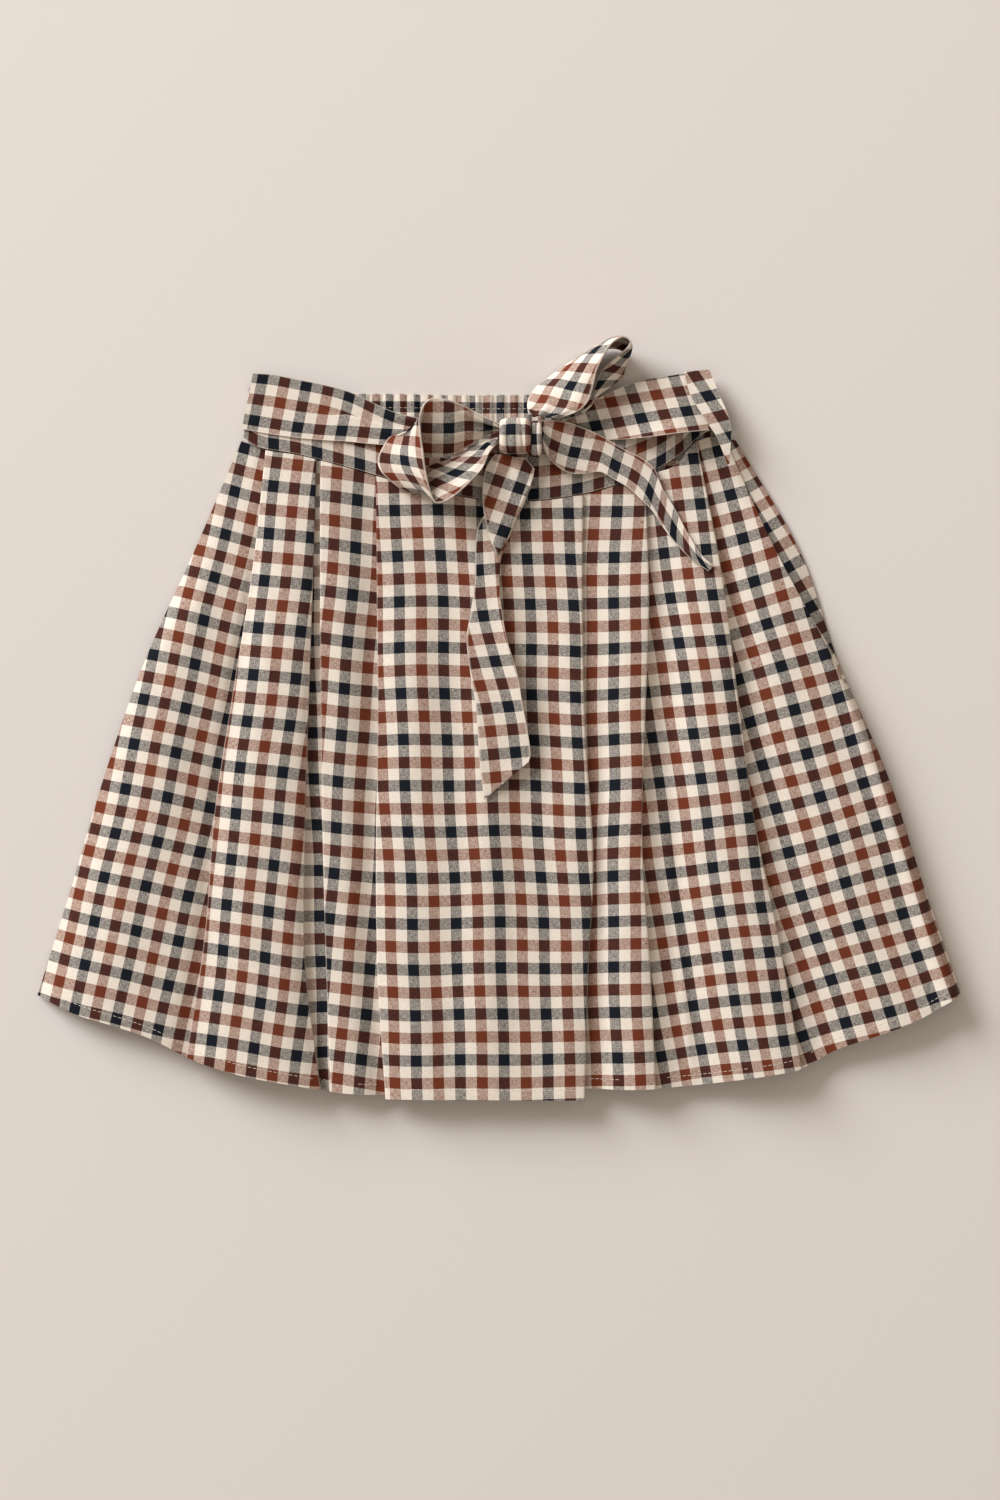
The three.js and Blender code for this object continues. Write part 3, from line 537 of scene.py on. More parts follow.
# Rise of the soft pleats over their lowest layer, in mm, from one line to the next: share of the way
# across, rise in the upper third and at the hem
FRONT_RISES = {
    ("side_left", "fold_a"): [
        (0, 0, 0), (0.11, 4.2, 5), (0.25, 6.8, 7), (0.48, 6.6, 7.8), (0.72, 5, 7.5), (0.89, 3, 6.5),
    ],
    ("fold_a", "fold_b"): [
        (0, 0.5, 4), (0.16, 3, 6.5), (0.36, 5.6, 8.6), (0.58, 6.2, 9.2), (0.8, 5.8, 8.5), (0.94, 4.4, 6.2),
    ],
    ("fold_b", "fold_b2"): [(0, 3, 4.2), (0.5, 1.8, 3.2), (1, 2, 4)],
    ("fold_b2", "fold_c"): [(0.28, 2.8, 5), (0.65, 2.6, 4.8), (1, 1, 3.8)],
    ("fold_c", "fold_d"): [
        (0.06, 3, 5.5), (0.16, 5.2, 7.2), (0.4, 3.4, 7), (0.52, 6.5, 7.6), (0.66, 2, 7), (0.78, 1.2, 6.8),
        (0.92, 3.6, 7.2),
    ],
    ("fold_d", "fold_d2"): [(0, 3.5, 6.5), (0.22, 3, 4.4), (0.5, 4.2, 6.4), (0.8, 5, 8), (1, 4, 7.2)],
    ("fold_d2", "fold_e"): [
        (0.13, 1.6, 5), (0.3, 1.8, 3.8), (0.5, 4.2, 6.4), (0.74, 6, 8.8), (0.91, 5.8, 9), (1, 4.2, 7),
    ],
    ("fold_e", "fold_f"): [(0.12, 1, 4.5), (0.32, 3.2, 6.3), (0.6, 5, 8.3), (0.86, 6.6, 9.3)],
    ("fold_f", "side_right"): [(0, 6.5, 9), (1, 0, 0)],
}
RISE_BEGINS, RISE_FULL = 0.02, 0.34
# Check on each panel: middle, repeats there, the steps to the next repeat across and down, and bends
PANEL_CHECKS = {
    "side_left": ((-193.2, -43.7), (0.26, 0.36), (24, -5.7), (-5.5, -25.2), (0, 0)),
    "panel_2": ((-134, -52.9), (0.02, 0.29), (24.2, -3.5), (-2.9, -26.4), (-0.01, 0.02)),
    "panel_3": ((-85.7, -32.2), (0.60, 0.27), (25, -3.4), (-1.8, -26.4), (0.01, 0.02)),
    "strip": ((-104.7, -124.2), (0.29, 0.84), (24.3, 0.9), (0.9, -26.3), (0, 0)),
    "centre": ((-10.4, -58.1), (0.06, 0.14), (24.9, -0.2), (1.1, -26.1), (0, 0.01)),
    "panel_4": ((67.9, -39.1), (0.47, 0.42), (25, 0.9), (0, -26), (-0.03, 0.02)),
    "panel_5": ((117.3, -75.3), (0.20, 0.97), (23.6, 2.8), (4, -25.5), (-0.01, 0.02)),
    "side_right": ((185.7, -59.8), (0.27, 0), (24.7, 7.8), (7.7, -24.6), (-0.04, 0)),
    "wrap_right": ((159.9, 104.1), (0.50, 0.71), (22.2, 13.2), (13.2, -22.3), (0, 0)),
}


def panel_check(panel, x, y):
    middle, origin, across, down, bend = PANEL_CHECKS[panel]
    check = straight_check(x, y, middle, origin, across, down)
    from_middle = (y - middle[1]) / 100
    waver_u = 0.025 * np.sin(y / 31 + x / 120 + middle[0]) + 0.014 * np.sin(y / 13 + x / 55)
    waver_v = 0.030 * np.sin(x / 27 + y / 90 + middle[0]) + 0.015 * np.sin(x / 11 - y / 60)
    check[..., 0] += bend[0] * from_middle ** 2 + waver_u
    check[..., 1] += bend[1] * from_middle ** 2 + waver_v
    return check


def front_rise(x, part):
    """Rise of the soft pleats across one part of the way down."""
    lower = float(np.clip((part - RISE_FULL) / (1 - RISE_FULL), 0, 1))
    places, rises = [], []
    for (left, right), rows in FRONT_RISES.items():
        for share, upper_rise, hem_rise in rows:
            places.append(lerp(line_x(left, part), line_x(right, part), share))
            rises.append(lerp(upper_rise, hem_rise, lower))
    return float(smooth(part, RISE_BEGINS, RISE_FULL)) * read(places, rises, x)


def front_base(x, part):
    """Height of the lowest front layer: low at the sides, over the shorts elsewhere, plus the rise."""
    in_from_side = np.minimum(x - line_x("side_left", part), line_x("side_right", part) - x)
    return lerp(FRONT_AT_SIDE, FRONT_IN_MIDDLE, smooth(in_from_side, 0, SIDE_ROLL)) + front_rise(x, part)


# Soft creases of the front: ends in x and y, width and height in mm, hollows below zero
FRONT_CREASES = [
    (-196, 60, -226, -60, 9, 0.5), (-172, 90, -196, 10, 6, -0.5), (-210, -60, -222, -150, 10, 0.5),
    (-140, 60, -150, -120, 12, 0.4), (-128, 110, -126, 20, 5, -0.5), (-120, -40, -118, -190, 9, 0.4),
    (-86, 90, -84, -10, 7, 0.5), (-80, -60, -74, -190, 5, -0.5), (-52, 60, -56, -40, 9, 0.6),
    (-40, -130, -22, -200, 9, -1.3), (-14, -90, -8, -200, 11, 0.8), (28, 100, 30, -40, 9, -1.0),
    (12, -70, 24, -190, 8, 0.7), (44, 20, 50, -60, 5, 0.8), (40, -130, 44, -205, 6, 0.5),
    (62, 60, 60, -60, 6, -0.6), (70, -20, 74, -150, 6, 0.6), (96, -50, 110, -190, 5, 0.5),
    (104, 60, 116, -40, 7, 0.5), (128, -60, 140, -180, 9, 0.5), (150, 60, 176, -40, 8, 0.6),
    (168, 80, 196, 10, 5, -0.7), (190, -40, 214, -150, 12, 0.6), (206, 30, 236, -60, 7, -0.5),
    (93, -46, 112, -210, 2.2, 0.9), (97, -46, 117, -210, 4, -0.8),
    (-182, 90, -232, -50, 9, 1.4), (-156, 100, -178, -70, 12, -1.6),
    (83, 40, 83, -190, 6, 1.0), (97, 30, 103, -200, 6, -1.1),
]
# Puckers under the waist seam, where the cloth is eased into the band
SEAM_PUCKERS = [
    -143, -139, -130, -124, -111, -96, -90, -78, -52, -34, -12,
    6, 22, 40, 56, 74, 92, 99, 107, 118, 124, 129, 134,
]
HEM_TURN = 7.0


def crease_field(x, y, creases):
    """Sum of soft ridges and hollows, each fading towards its ends."""
    height = np.zeros_like(x)
    for x0, y0, x1, y1, width, rise in creases:
        length = math.hypot(x1 - x0, y1 - y0)
        along = ((x - x0) * (x1 - x0) + (y - y0) * (y1 - y0)) / length
        aside = ((x - x0) * (y1 - y0) - (y - y0) * (x1 - x0)) / length
        wander = 0.25 * width * np.sin(along / 23 + x0)
        fade = smooth(along, -0.15 * length, 0.3 * length) * smooth(along, 1.2 * length, 0.65 * length)
        height += rise * bump_at(aside + wander, 0, width) * fade
    return height


def pucker_field(x, from_seam):
    """Short gathers that fan out below the waist seam."""
    height = np.zeros_like(x)
    for k, place in enumerate(SEAM_PUCKERS):
        reach = 14 + 9 * math.sin(k * 2.4)
        spread = place * (1 + from_seam * 0.0016)
        height += (0.42 + 0.2 * math.sin(k * 1.7)) * bump_at(x, spread, 2.6) * np.exp(-from_seam / reach)
    return height * smooth(from_seam, -1, 4)


def hem_field(from_hem):
    """The turned hem stands a little proud, pressed in along its line of stitches."""
    return 0.35 * smooth(from_hem, HEM_TURN + 1.5, HEM_TURN - 1.5) - 0.22 * bump_at(from_hem, HEM_TURN, 0.8)


def folded_front(runs, hem):
    """Grid of a pleated part, its columns' runs and the painted highlight along its pressed folds.

    Columns follow its folded section, and rows run from the seam to the hem.
    """
    depth = lerp(*PLEAT_DEPTH, way_down)
    layer = lerp(*LAYER_STEP, smooth(way_down, 0, 0.25))
    inset = (layer + FRONT_CLOTH) / 2
    ends = [(line_x(r[0], way_down) + r[1] * depth, line_x(r[2], way_down) + r[3] * depth) for r in runs]
    heading = [np.sign(end[-1][-1] - end[0][-1]) for end in ends]
    columns = []
    for k, (_, _, _, _, level_0, level_1, steps, _) in enumerate(runs):
        turns_before = k > 0 and heading[k - 1] != heading[k]
        turns_after = k < len(runs) - 1 and heading[k + 1] != heading[k]
        begin = ends[k][0] + (heading[k] * inset if turns_before else 0)
        stop = ends[k][1] - (heading[k] * inset if turns_after else 0)
        for step in range(0 if k == 0 or turns_before else 1, steps + 1):
            x = lerp(begin, stop, step / steps)
            columns.append((x, x, lerp(level_0, level_1, float(smooth(step / steps))), k, 0))
        for turn in range(1, TURN_STEPS if turns_after else 0):
            angle = math.pi * turn / TURN_STEPS
            x = stop + heading[k] * layer / 2 * math.sin(angle)
            level = lerp(level_1, runs[k + 1][4], (1 - math.cos(angle)) / 2)
            owner = k if turn < TURN_STEPS / 2 else k + 1
            # The last value is the painted highlight, strongest at the outer round of the turn.
            columns.append((x, stop, level, owner, FOLD_HIGHLIGHT * math.sin(angle) ** 4))
    xs, base_xs, levels, run_of, tone_shift = zip(*columns)
    x, base_x = np.stack(xs, axis=1), np.stack(base_xs, axis=1)
    base = np.stack([front_base(base_x[i], part) for i, part in enumerate(way_down)])
    seam, bottom = edge_y(FRONT_SEAM, x[0]) - 0.3, edge_y(hem, x[-1])
    y = lerp(seam, bottom, way_down[:, None])
    z = base + np.array(levels) * layer[:, None]
    z = z + crease_field(x, y, FRONT_CREASES) * smooth(way_down, 0.02, 0.3)[:, None]
    z = z + pucker_field(x, seam - y) + hem_field(y - bottom)
    # Painted highlight on the folds: none at the waist, then varying in strength down to the hem.
    patchy = smooth(way_down, 0.05, 0.25) * (0.75 + 0.25 * np.sin(way_down * 23) * np.sin(way_down * 61))
    return grid_of(x, y, z), run_of, np.array(tone_shift) * patchy[:, None]


WRAP_ENDS = 0.44
LEAST_STITCHED_STEPS = 14
HEM_STITCH_HALF_HEIGHT = 0.42


def hem_stitches(part_name, grid, run_of, runs):
    """A line of stitches along the turned hem, on the runs that show."""
    from_hem = (grid[:, :, 1] - grid[-1:, :, 1]).mean(axis=1)
    row = int(np.searchsorted(-from_hem, -HEM_TURN))
    normals = sheet_normals(grid)
    lines = []
    for k, (_, _, _, _, level_0, level_1, steps, _) in enumerate(runs):
        if steps >= LEAST_STITCHED_STEPS and not level_0 == level_1 == 1:
            columns = [column for column, owner in enumerate(run_of) if owner == k][1:-1]
            lines.append((grid[row, columns], normals[row, columns]))
    node = f"skirt_front_{part_name}"
    return add_stitches(f"{node}_hem_stitches", node, lines, HEM_STITCH_HALF_HEIGHT)


def make_front(name, runs, hem):
    grid, run_of, painted_highlight = folded_front(runs, hem)
    x, y = grid[..., 0], grid[..., 1]
    left = np.empty((len(x), len(run_of) - 1, 2))
    right = np.empty_like(left)
    for k, owner in enumerate(run_of[1:]):
        panel = runs[owner][7]
        for check, column in ((left, k), (right, k + 1)):
            check[:, k] = panel_check(panel, x[:, column], y[:, column])
            if panel == "wrap_right":
                below = way_down > WRAP_ENDS
                check[below, k] = panel_check("side_right", x[below, column], y[below, column])
    return add_sheet(name, grid, (left, right), FRONT_CLOTH, painted_highlight=painted_highlight), grid, run_of


# A run: from line, shift in pleat depths, to line, shift, layer at each end, steps, and the panel
# whose check it carries
LEFT_RUNS = [
    ("side_left", 0, "fold_a", 1, 0, 0, 60, "side_left"),
    ("fold_a", 1, "fold_a", 0, 1, 1, 12, "panel_2"),
    ("fold_a", 0, "fold_b", 0, 2, 2, 44, "panel_2"),
    ("fold_b", 0, "fold_b", -0.9, 1, 1, 12, "panel_2"),
    ("fold_b", -0.9, "fold_b2", 0.4, -0.5, 0, 18, "strip"),
    ("fold_b2", 0.4, "fold_b2", 0, 1, 1, 8, "panel_3"),
    ("fold_b2", 0, "fold_b2", 0.5, 2, 2, 10, "panel_3"),
    ("fold_b2", 0.5, "fold_c", 0, 2, 0, 18, "panel_3"),
    ("fold_c", 0, "fold_c", 0.9, 0, 0, 10, "panel_3"),
]
CENTRE_RUNS = [
    ("fold_c", 0.9, "fold_c", 0, 1, 1, 12, "centre"),
    ("fold_c", 0, "fold_d", 0, 2, 2, 80, "centre"),
    ("fold_d", 0, "fold_d", -0.9, 1, 1, 12, "centre"),
]
RIGHT_RUNS = [
    ("fold_d", -0.9, "fold_d", 0, 0, 0, 12, "panel_4"),
    ("fold_d", 0, "fold_d2", -0.6, 0, 2, 18, "panel_4"),
    ("fold_d2", -0.6, "fold_d2", 0, 2, 2, 12, "panel_4"),
    ("fold_d2", 0, "fold_d2", -0.5, 1, 1, 8, "panel_4"),
    ("fold_d2", -0.5, "fold_d2", 0.1, 0, 0, 10, "panel_5"),
    ("fold_d2", 0.1, "fold_e", -0.9, 0, 2, 30, "panel_5"),
    ("fold_e", -0.9, "fold_e", 0, 2, 2, 14, "panel_5"),
    ("fold_e", 0, "fold_e", -0.8, 1, 1, 12, "panel_5"),
    ("fold_e", -0.8, "fold_e", 0.1, 0, 0, 14, "side_right"),
    ("fold_e", 0.1, "fold_f", 0, 0, 1.2, 50, "side_right"),
    ("fold_f", 0, "fold_f", 0.03, 1.2, 0, 4, "wrap_right"),
    ("fold_f", 0.03, "side_right", 0, 0, 0, 8, "wrap_right"),
]
FRONT_PARTS = [
    ("left", LEFT_RUNS, HEM_LEFT, (0.330, 0.374), 0.094),
    ("centre", CENTRE_RUNS, HEM_CENTRE, (0.175, 0.356), 0.054),
    ("right", RIGHT_RUNS, HEM_RIGHT, (0.330, 0.372), 0.086),
]
for part_name, runs, hem, flat, area in FRONT_PARTS:
    front, grid, run_of = make_front(f"skirt_front_{part_name}_cloth", runs, hem)
    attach(front, "root")
    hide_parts(f"skirt_front_{part_name}")
    stitches = hem_stitches(part_name, grid, run_of, runs)

# Front waistband: a shaped band of doubled gingham that curves down in front.
# It covers the pleats' raw tops, and the sash lies on it.
# Places from left to right: upper edge x and y, lower edge x and y
FRONT_BAND = [
    (-143.5, 191, -146.8, 161.8), (-136, 192.5, -136.5, 156.3), (-114.5, 189.5, -114.5, 152.3),
    (-85.5, 181, -85.5, 144.8), (-57, 173, -57, 136.8), (-28, 166, -28, 129.8), (0.5, 162, 0.5, 125.8),
    (29.5, 163.5, 29.5, 126.8), (58, 169, 58, 132.3), (87, 178, 86, 142), (103, 184, 103, 152),
    (114, 188.5, 119, 165.5), (124, 191, 134, 165),
]
BAND_CREASES = [
    (-130, 175, -60, 150, 3, 0.35), (-120, 160, -80, 148, 2.5, -0.3), (20, 140, 70, 150, 3, 0.4),
    (60, 150, 120, 172, 3.5, -0.3), (30, 132, 60, 138, 2.2, -0.35), (100, 160, 128, 172, 2.5, 0.35),
]
BAND_WALL = 2.0
BAND_COLUMNS = 150
BAND_ROWS = 26


def band_underside(x):
    """Over the back waistband at the sides, over the shorts elsewhere."""
    in_from_side = np.minimum(x - FRONT_BAND[0][2], FRONT_BAND[-1][2] - x)
    return lerp(2.4, 4.5, smooth(in_from_side, 0, SIDE_ROLL))


def make_waistband_front():
    across, down = np.linspace(0, 1, BAND_COLUMNS), np.linspace(0, 1, BAND_ROWS)[:, None]
    top_x, top_y, low_x, low_y = read_columns(FRONT_BAND, across)
    x, y = lerp(top_x, low_x, down), lerp(top_y, low_y, down)
    z = band_underside(x) + BAND_WALL / 2 + 0.3 * np.sin(np.pi * down) + crease_field(x, y, BAND_CREASES)
    arc = arc_of(grid_of(x[-1], y[-1]))
    check = grid_of(arc / REPEAT + 0.62, (low_y - y) / REPEAT + 0.52)
    return add_sheet("waistband_front_cloth", grid_of(x, y, z), check, BAND_WALL, rounded=0.5)


waistband_front = make_waistband_front()
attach(waistband_front, "root")
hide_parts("waistband_front")

# Sash: a turned tube of gingham 34.5 mm wide, pressed flat, sewn in at the side seams.
# Both lengths lie on the front waistband, and each closes into a lengthwise pleat towards the knot.
SASH_WIDTH = 34.5
SASH_CLOTH = 0.8
SASH_LAYER = 0.95
SASH_STEPS = 12
SASH_POINTS_ACROSS = 60
PLEAT_AT = 0.45
# Painted highlight along the long edges of sash and bow: how far their colour is paled towards cream.
EDGE_HIGHLIGHT = 0.65
# Rows along the length: upper edge x and y, lower edge x and y, how far the pleat is closed, and how
# high the lower edge stands off the band
SASH_LEFT = [
    (-141, 199, -147.6, 167, 0, 0), (-129.5, 198, -134, 164.5, 0, 0), (-114.5, 195, -117.5, 162, 0, 0),
    (-100, 192, -102, 160.5, 0.2, 0), (-85.5, 188, -87, 159.5, 0.8, 0), (-71.5, 181.5, -72, 158, 1, 0),
    (-57, 175.5, -57, 157, 1, 0), (-39.5, 172, -39.5, 156.5, 1, 0), (-16.5, 169, -16.5, 157.5, 1, 0),
    (8, 167, 8, 158.5, 1, 0),
]
SASH_RIGHT = [
    (8.5, 167, 8.5, 158.5, 1, 0), (26.5, 170, 26.5, 160, 1, 0), (43.5, 178, 43.5, 160, 0.5, 0),
    (58, 185, 62.5, 160.5, 0, 0.3), (78, 193.5, 81, 161.2, 0, 6.5), (95.5, 197, 101, 163.5, 0, 11),
    (113.5, 200, 120, 165.8, 0, 7.5),
]
SASH_LOOP = [
    (106, 199.3, 120.6, 200.8, 0.6), (107.5, 192.6, 123.4, 193.4, 2.4), (110.4, 184, 126.4, 185.2, 4.8),
    (115.2, 176, 130, 177, 6.8), (120, 168.5, 132, 170, 7.8), (124.2, 162, 132.8, 164.2, 8),
    (126.8, 156, 132.4, 157.5, 8), (129.2, 149.5, 132, 150.5, 7.8), (130.4, 146, 131.8, 146.5, 7.5),
]


def sash_base(x):
    """Middle height of a sash that lies on the front waistband."""
    return band_underside(x) + BAND_WALL + 0.6 + SASH_CLOTH / 2


def painted_edge_highlight(grid, edge_axis):
    """Painted highlight of pressed edges: its full share along a strip's two long edges and 0 from the next
    points inwards.
    """
    painted_highlight = np.zeros(grid.shape[:2])
    along = painted_highlight if edge_axis == 0 else painted_highlight.T
    along[[0, -1]] = EDGE_HIGHLIGHT
    return painted_highlight


def pleated_section(cloth, visible, tucked):
    """Place across the visible width and layer of a strip tucked lengthwise, from its upper edge."""
    fold = PLEAT_AT * visible
    down_to, up_to = fold + tucked, fold
    place = np.where(cloth < down_to, cloth, np.where(
        cloth < down_to + tucked, 2 * down_to - cloth, cloth - 2 * tucked))
    first_turn = smooth(cloth, down_to - 0.8, down_to + 0.8)
    second_turn = smooth(cloth, up_to + 2 * tucked - 0.8, down_to + tucked + 0.8)
    return place, first_turn + second_turn


def make_sash(name, rows, start, straight, lift, creases, width):
    """A flat length between its two long edges; where it is pleated its cloth runs in three layers."""
    stations = np.linspace(0, 1, len(rows) * SASH_STEPS)
    top_x, top_y, low_x, low_y, pleat, top_lift, low_lift = read_columns(rows, stations)
    visible = np.hypot(top_x - low_x, top_y - low_y)
    whole = np.maximum(width, visible)
    closed = np.clip(pleat, 0, 1)
    down = np.linspace(0, 1, SASH_POINTS_ACROSS)[:, None]
    place, layer = pleated_section(down * whole, visible, (whole - visible) / 2)
    across = lerp(down, place / visible, closed)
    x, y = lerp(top_x, low_x, across), lerp(top_y, low_y, across)
    z = sash_base(x) + lift + lerp(top_lift, low_lift, across)
    z = z + SASH_LAYER * layer * closed + crease_field(x, y, creases)
    if straight:
        check = straight_check(x, y, *straight)
    else:
        arc = np.stack([arc_of(line) for line in grid_of(x, y)])
        check = grid_of(arc / REPEAT + start[0], (down * whole - width) / REPEAT + start[1])
    grid = grid_of(x, y, z)
    return add_sheet(name, grid, check, SASH_CLOTH, painted_highlight=painted_edge_highlight(grid, 0))


# Creases of the two lengths, as on the front
SASH_LEFT_CREASES = [
    (-70, 176, -20, 166, 1.6, 0.7), (-80, 166, -30, 161, 1.5, 0.5), (-60, 170, -10, 164, 1.2, -0.5),
]
SASH_RIGHT_CREASES = [
    (20, 166, 70, 180, 2, 0.7), (24, 163, 80, 168, 2.2, -0.5), (40, 172, 90, 190, 2.5, 0.5),
]
length_left = [(*row[:5], 0, row[5]) for row in SASH_LEFT]
length_right = [(*row[:5], 0, row[5]) for row in SASH_RIGHT]
strip_right = [(*row[:4], 0, row[4], row[4]) for row in SASH_LOOP]
# The check starts at a repeat at the outer end, or lies straight as measured on a flat stretch
check_right = ((81.5, 172.5), NAVY_CELL, (25.9, 3.9), (8.2, -23.0))
check_strip = ((119.7, 185.2), NAVY_CELL, (26.3, 6.6), (14.1, -23.0))
SASHES = [
    ("sash_left", length_left, (0.135, 0.62), None, 0, SASH_LEFT_CREASES, SASH_WIDTH, (0.156, 0.0345)),
    ("sash_right", length_right, (0, 0), check_right, 0, SASH_RIGHT_CREASES, SASH_WIDTH, (0.113, 0.0345)),
    ("sash_loop_right", strip_right, (0, 0), check_strip, 1.5, [], 15, (0.058, 0.0125)),
]
for node, rows, start, straight, lift, creases, width, flat in SASHES:
    sash = make_sash(f"{node}_cloth", rows, start, straight, lift, creases, width)
    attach(sash, "root")
    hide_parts(node)

# Bow: the two ends of the sash, looped and pulled through the knot, with two tails.
# Each stretch is a ribbon between its two long edges, gathered where it enters the knot.
# Places along a ribbon: x, y and z of its near edge, then of its far edge
LOOP_LEFT = [
    (0, 169, 18, 0, 165, 13), (-8, 172.5, 21, -7.5, 162.8, 11.5), (-19.6, 178.6, 24, -16.5, 157.6, 10.8),
    (-27, 181.5, 26, -27, 151.8, 10.8), (-34.5, 182.8, 27, -38.5, 150.2, 10.8),
    (-39.5, 182, 28, -48.5, 152.5, 10.8), (-43, 178.5, 28.5, -56, 159.5, 10.8),
    (-45, 171.5, 29, -62, 162, 10.8), (-44.6, 163, 30, -67, 155, 10.8), (-43.2, 153, 30, -69.3, 148, 10.8),
    (-42, 143.5, 30, -66.3, 141, 10.8), (-40, 133, 29, -56, 132.5, 10.8),
    (-37.6, 125.5, 28, -48, 130.5, 10.8),
    (-35.3, 123.2, 27.5, -44.5, 138, 10.8), (-31, 124, 27, -39, 146, 10.8),
    (-24.2, 128.3, 26, -32, 147.8, 10.8), (-16.7, 135.2, 25, -23.5, 150.8, 10.8),
    (-9.5, 143.5, 22, -14, 156, 10.8), (-5.5, 152.5, 20, -6.5, 160.7, 11.5), (0, 159, 18, 0, 161.3, 13),
]
LOOP_RIGHT = [
    (34, 172, 18, 17, 174, 17), (45, 176, 20.5, 16.2, 179.5, 12), (50.3, 181, 22, 17.5, 185.5, 7),
    (52.8, 187, 23.5, 21.5, 191.5, 4), (54.2, 193, 26, 28.5, 196.5, 2.5), (55.5, 198.5, 28, 37, 203, 2),
    (58, 204, 29.5, 45.5, 208, 2), (61, 209.3, 30, 54.5, 211.4, 2), (64.8, 214.6, 29, 62.5, 213.4, 2),
    (70.5, 217.7, 27, 68, 213.2, 2), (74.6, 215.6, 25.5, 71.5, 211.5, 2), (73.5, 212.3, 24, 73, 207.5, 2),
    (68.5, 208, 22, 72.2, 202.3, 2), (63.3, 203.6, 20.5, 71, 197.5, 3), (58.3, 198.6, 19, 67.5, 193.6, 8.5),
    (55.8, 193, 17, 62.5, 190, 10.7), (53.5, 187, 15.5, 55.7, 184.8, 10.8), (48, 179, 14, 49, 177.5, 10.8),
    (36, 172.5, 12.8, 38.5, 172.3, 10.8),
]
TAIL_RIGHT = [
    (24.5, 171, 16, 24.5, 157, 16), (29, 171.5, 15, 30, 148, 13), (38.5, 170.5, 13, 39.5, 141.5, 10.5),
    (49, 167, 11.5, 49, 141, 9.8), (60, 162, 10.6, 58, 142, 9.8), (70, 156, 10.2, 65.5, 138, 9.8),
    (81, 150.5, 10, 74, 133, 9.8), (89, 144, 9.8, 81, 126.5, 9.8), (94, 132, 9.8, 88, 119.5, 9.8),
    (100.5, 121.5, 9.8, 93.5, 111, 9.8), (107.5, 108, 9.8, 100.5, 102, 9.8), (115.5, 95, 9.6, 110, 92, 9.6),
    (123, 88, 9.5, 120, 85, 9.5),
]
TAIL_LEFT = [
    (-2, 152, 15, 15, 149.5, 15), (-5.5, 147.5, 14.5, 20, 144, 14), (-8.3, 141, 13.8, 20, 142, 13),
    (-9.4, 127, 13, 19.6, 139, 12.6), (-7.3, 111, 12.8, 18.8, 136.5, 12.6), (-2.2, 96, 12.6, 18, 134.5, 12.6),
    (-0.6, 93.6, 11.2, 17.6, 132.5, 11.2), (-0.4, 89, 10, 13.5, 130.5, 9.8), (0.3, 78, 11.5, -3.5, 121, 9.8),
    (0.8, 69, 12.6, -11.5, 112, 9.8), (2.6, 56.5, 13, -13.4, 97.5, 9.8), (4.6, 46, 13, -13.6, 80.5, 9.8),
    (8, 34.5, 13, -16, 62, 9.8), (11, 24, 12.8, -18.5, 46, 9.8), (13, 11.5, 12.2, -16, 24, 9.8),
    (16, -4.5, 11, -13, 6, 9.8), (18, -18.5, 9.7, -11, -24, 9.7), (17, -24, 9.7, -8.5, -45.5, 9.7),
]
RIBBON_COLUMNS = 24
RIBBON_STEPS = 9
TURN_PUFF = 1.4
TURN_PLACE = (0.42, 0.13)
THROAT_WIDTH = 30
THROAT_REACH = 14


def lift_over_skirt(x, y):
    """How high the soft pleats lift each row of points that lies across the skirt."""
    seam = edge_y(FRONT_SEAM, x)
    row_at = np.clip((seam - y) / (seam - HEM_CENTRE[0][1]), 0, 1) * (SKIRT_ROWS - 1)
    field_x = np.linspace(x.min(), x.max(), 200)
    field = np.stack([front_rise(field_x, part) for part in way_down])
    column_at = (x - field_x[0]) / (field_x[1] - field_x[0])
    i = np.clip(row_at.astype(int), 0, SKIRT_ROWS - 2)
    j = np.clip(column_at.astype(int), 0, len(field_x) - 2)
    upper = lerp(field[i, j], field[i, j + 1], column_at - j)
    lower = lerp(field[i + 1, j], field[i + 1, j + 1], column_at - j)
    return lerp(upper, lower, row_at - i).max(axis=1)


def make_ribbon(name, rows, cup, start, gathers, both_ends, lay_check):
    """A ribbon between its near and far edges, cupped across, with gathers that fade from the knot."""
    table = read_columns(rows, np.linspace(0, 1, (len(rows) - 1) * RIBBON_STEPS + 1))
    near, far = grid_of(*table[:3]), grid_of(*table[3:])
    across = np.linspace(0, 1, RIBBON_COLUMNS)
    flat = lerp(near[:, None, :], far[:, None, :], across[:, None])
    normal = unit(np.cross(np.gradient(flat, axis=0), (far - near)[:, None, :]))
    way = arc_of((near + far) / 2)[:, None]
    from_knot = np.minimum(way, way[-1] - way) if both_ends else way
    at_turn = TURN_PUFF * bump_at(way / way[-1], *TURN_PLACE) if both_ends else 0
    height = cup * np.sin(np.pi * across) * (smooth(from_knot, 0, 20) + at_turn)
    for place, drift, width, rise, reach in gathers:
        middle = place + drift * from_knot / 30
        height = height + rise * bump_at(across, middle, width) * np.exp(-from_knot / reach)
    grid = flat + normal * height[..., None]
    if not both_ends:
        grid[..., 2] += lift_over_skirt(grid[..., 0], grid[..., 1])[:, None]
    if lay_check:
        check = lay_check(grid)
    else:
        u = lerp(arc_of(near)[:, None], arc_of(far)[:, None], across) / REPEAT + start[0]
        width = np.linalg.norm(far - near, axis=-1, keepdims=True)
        width = np.maximum(width, THROAT_WIDTH * np.exp(-from_knot / THROAT_REACH))
        check = grid_of(u, (across - 0.5) * width / REPEAT + start[1])
    return add_sheet(name, grid, check, SASH_CLOTH, rounded=0.3, painted_highlight=painted_edge_highlight(grid, 1))


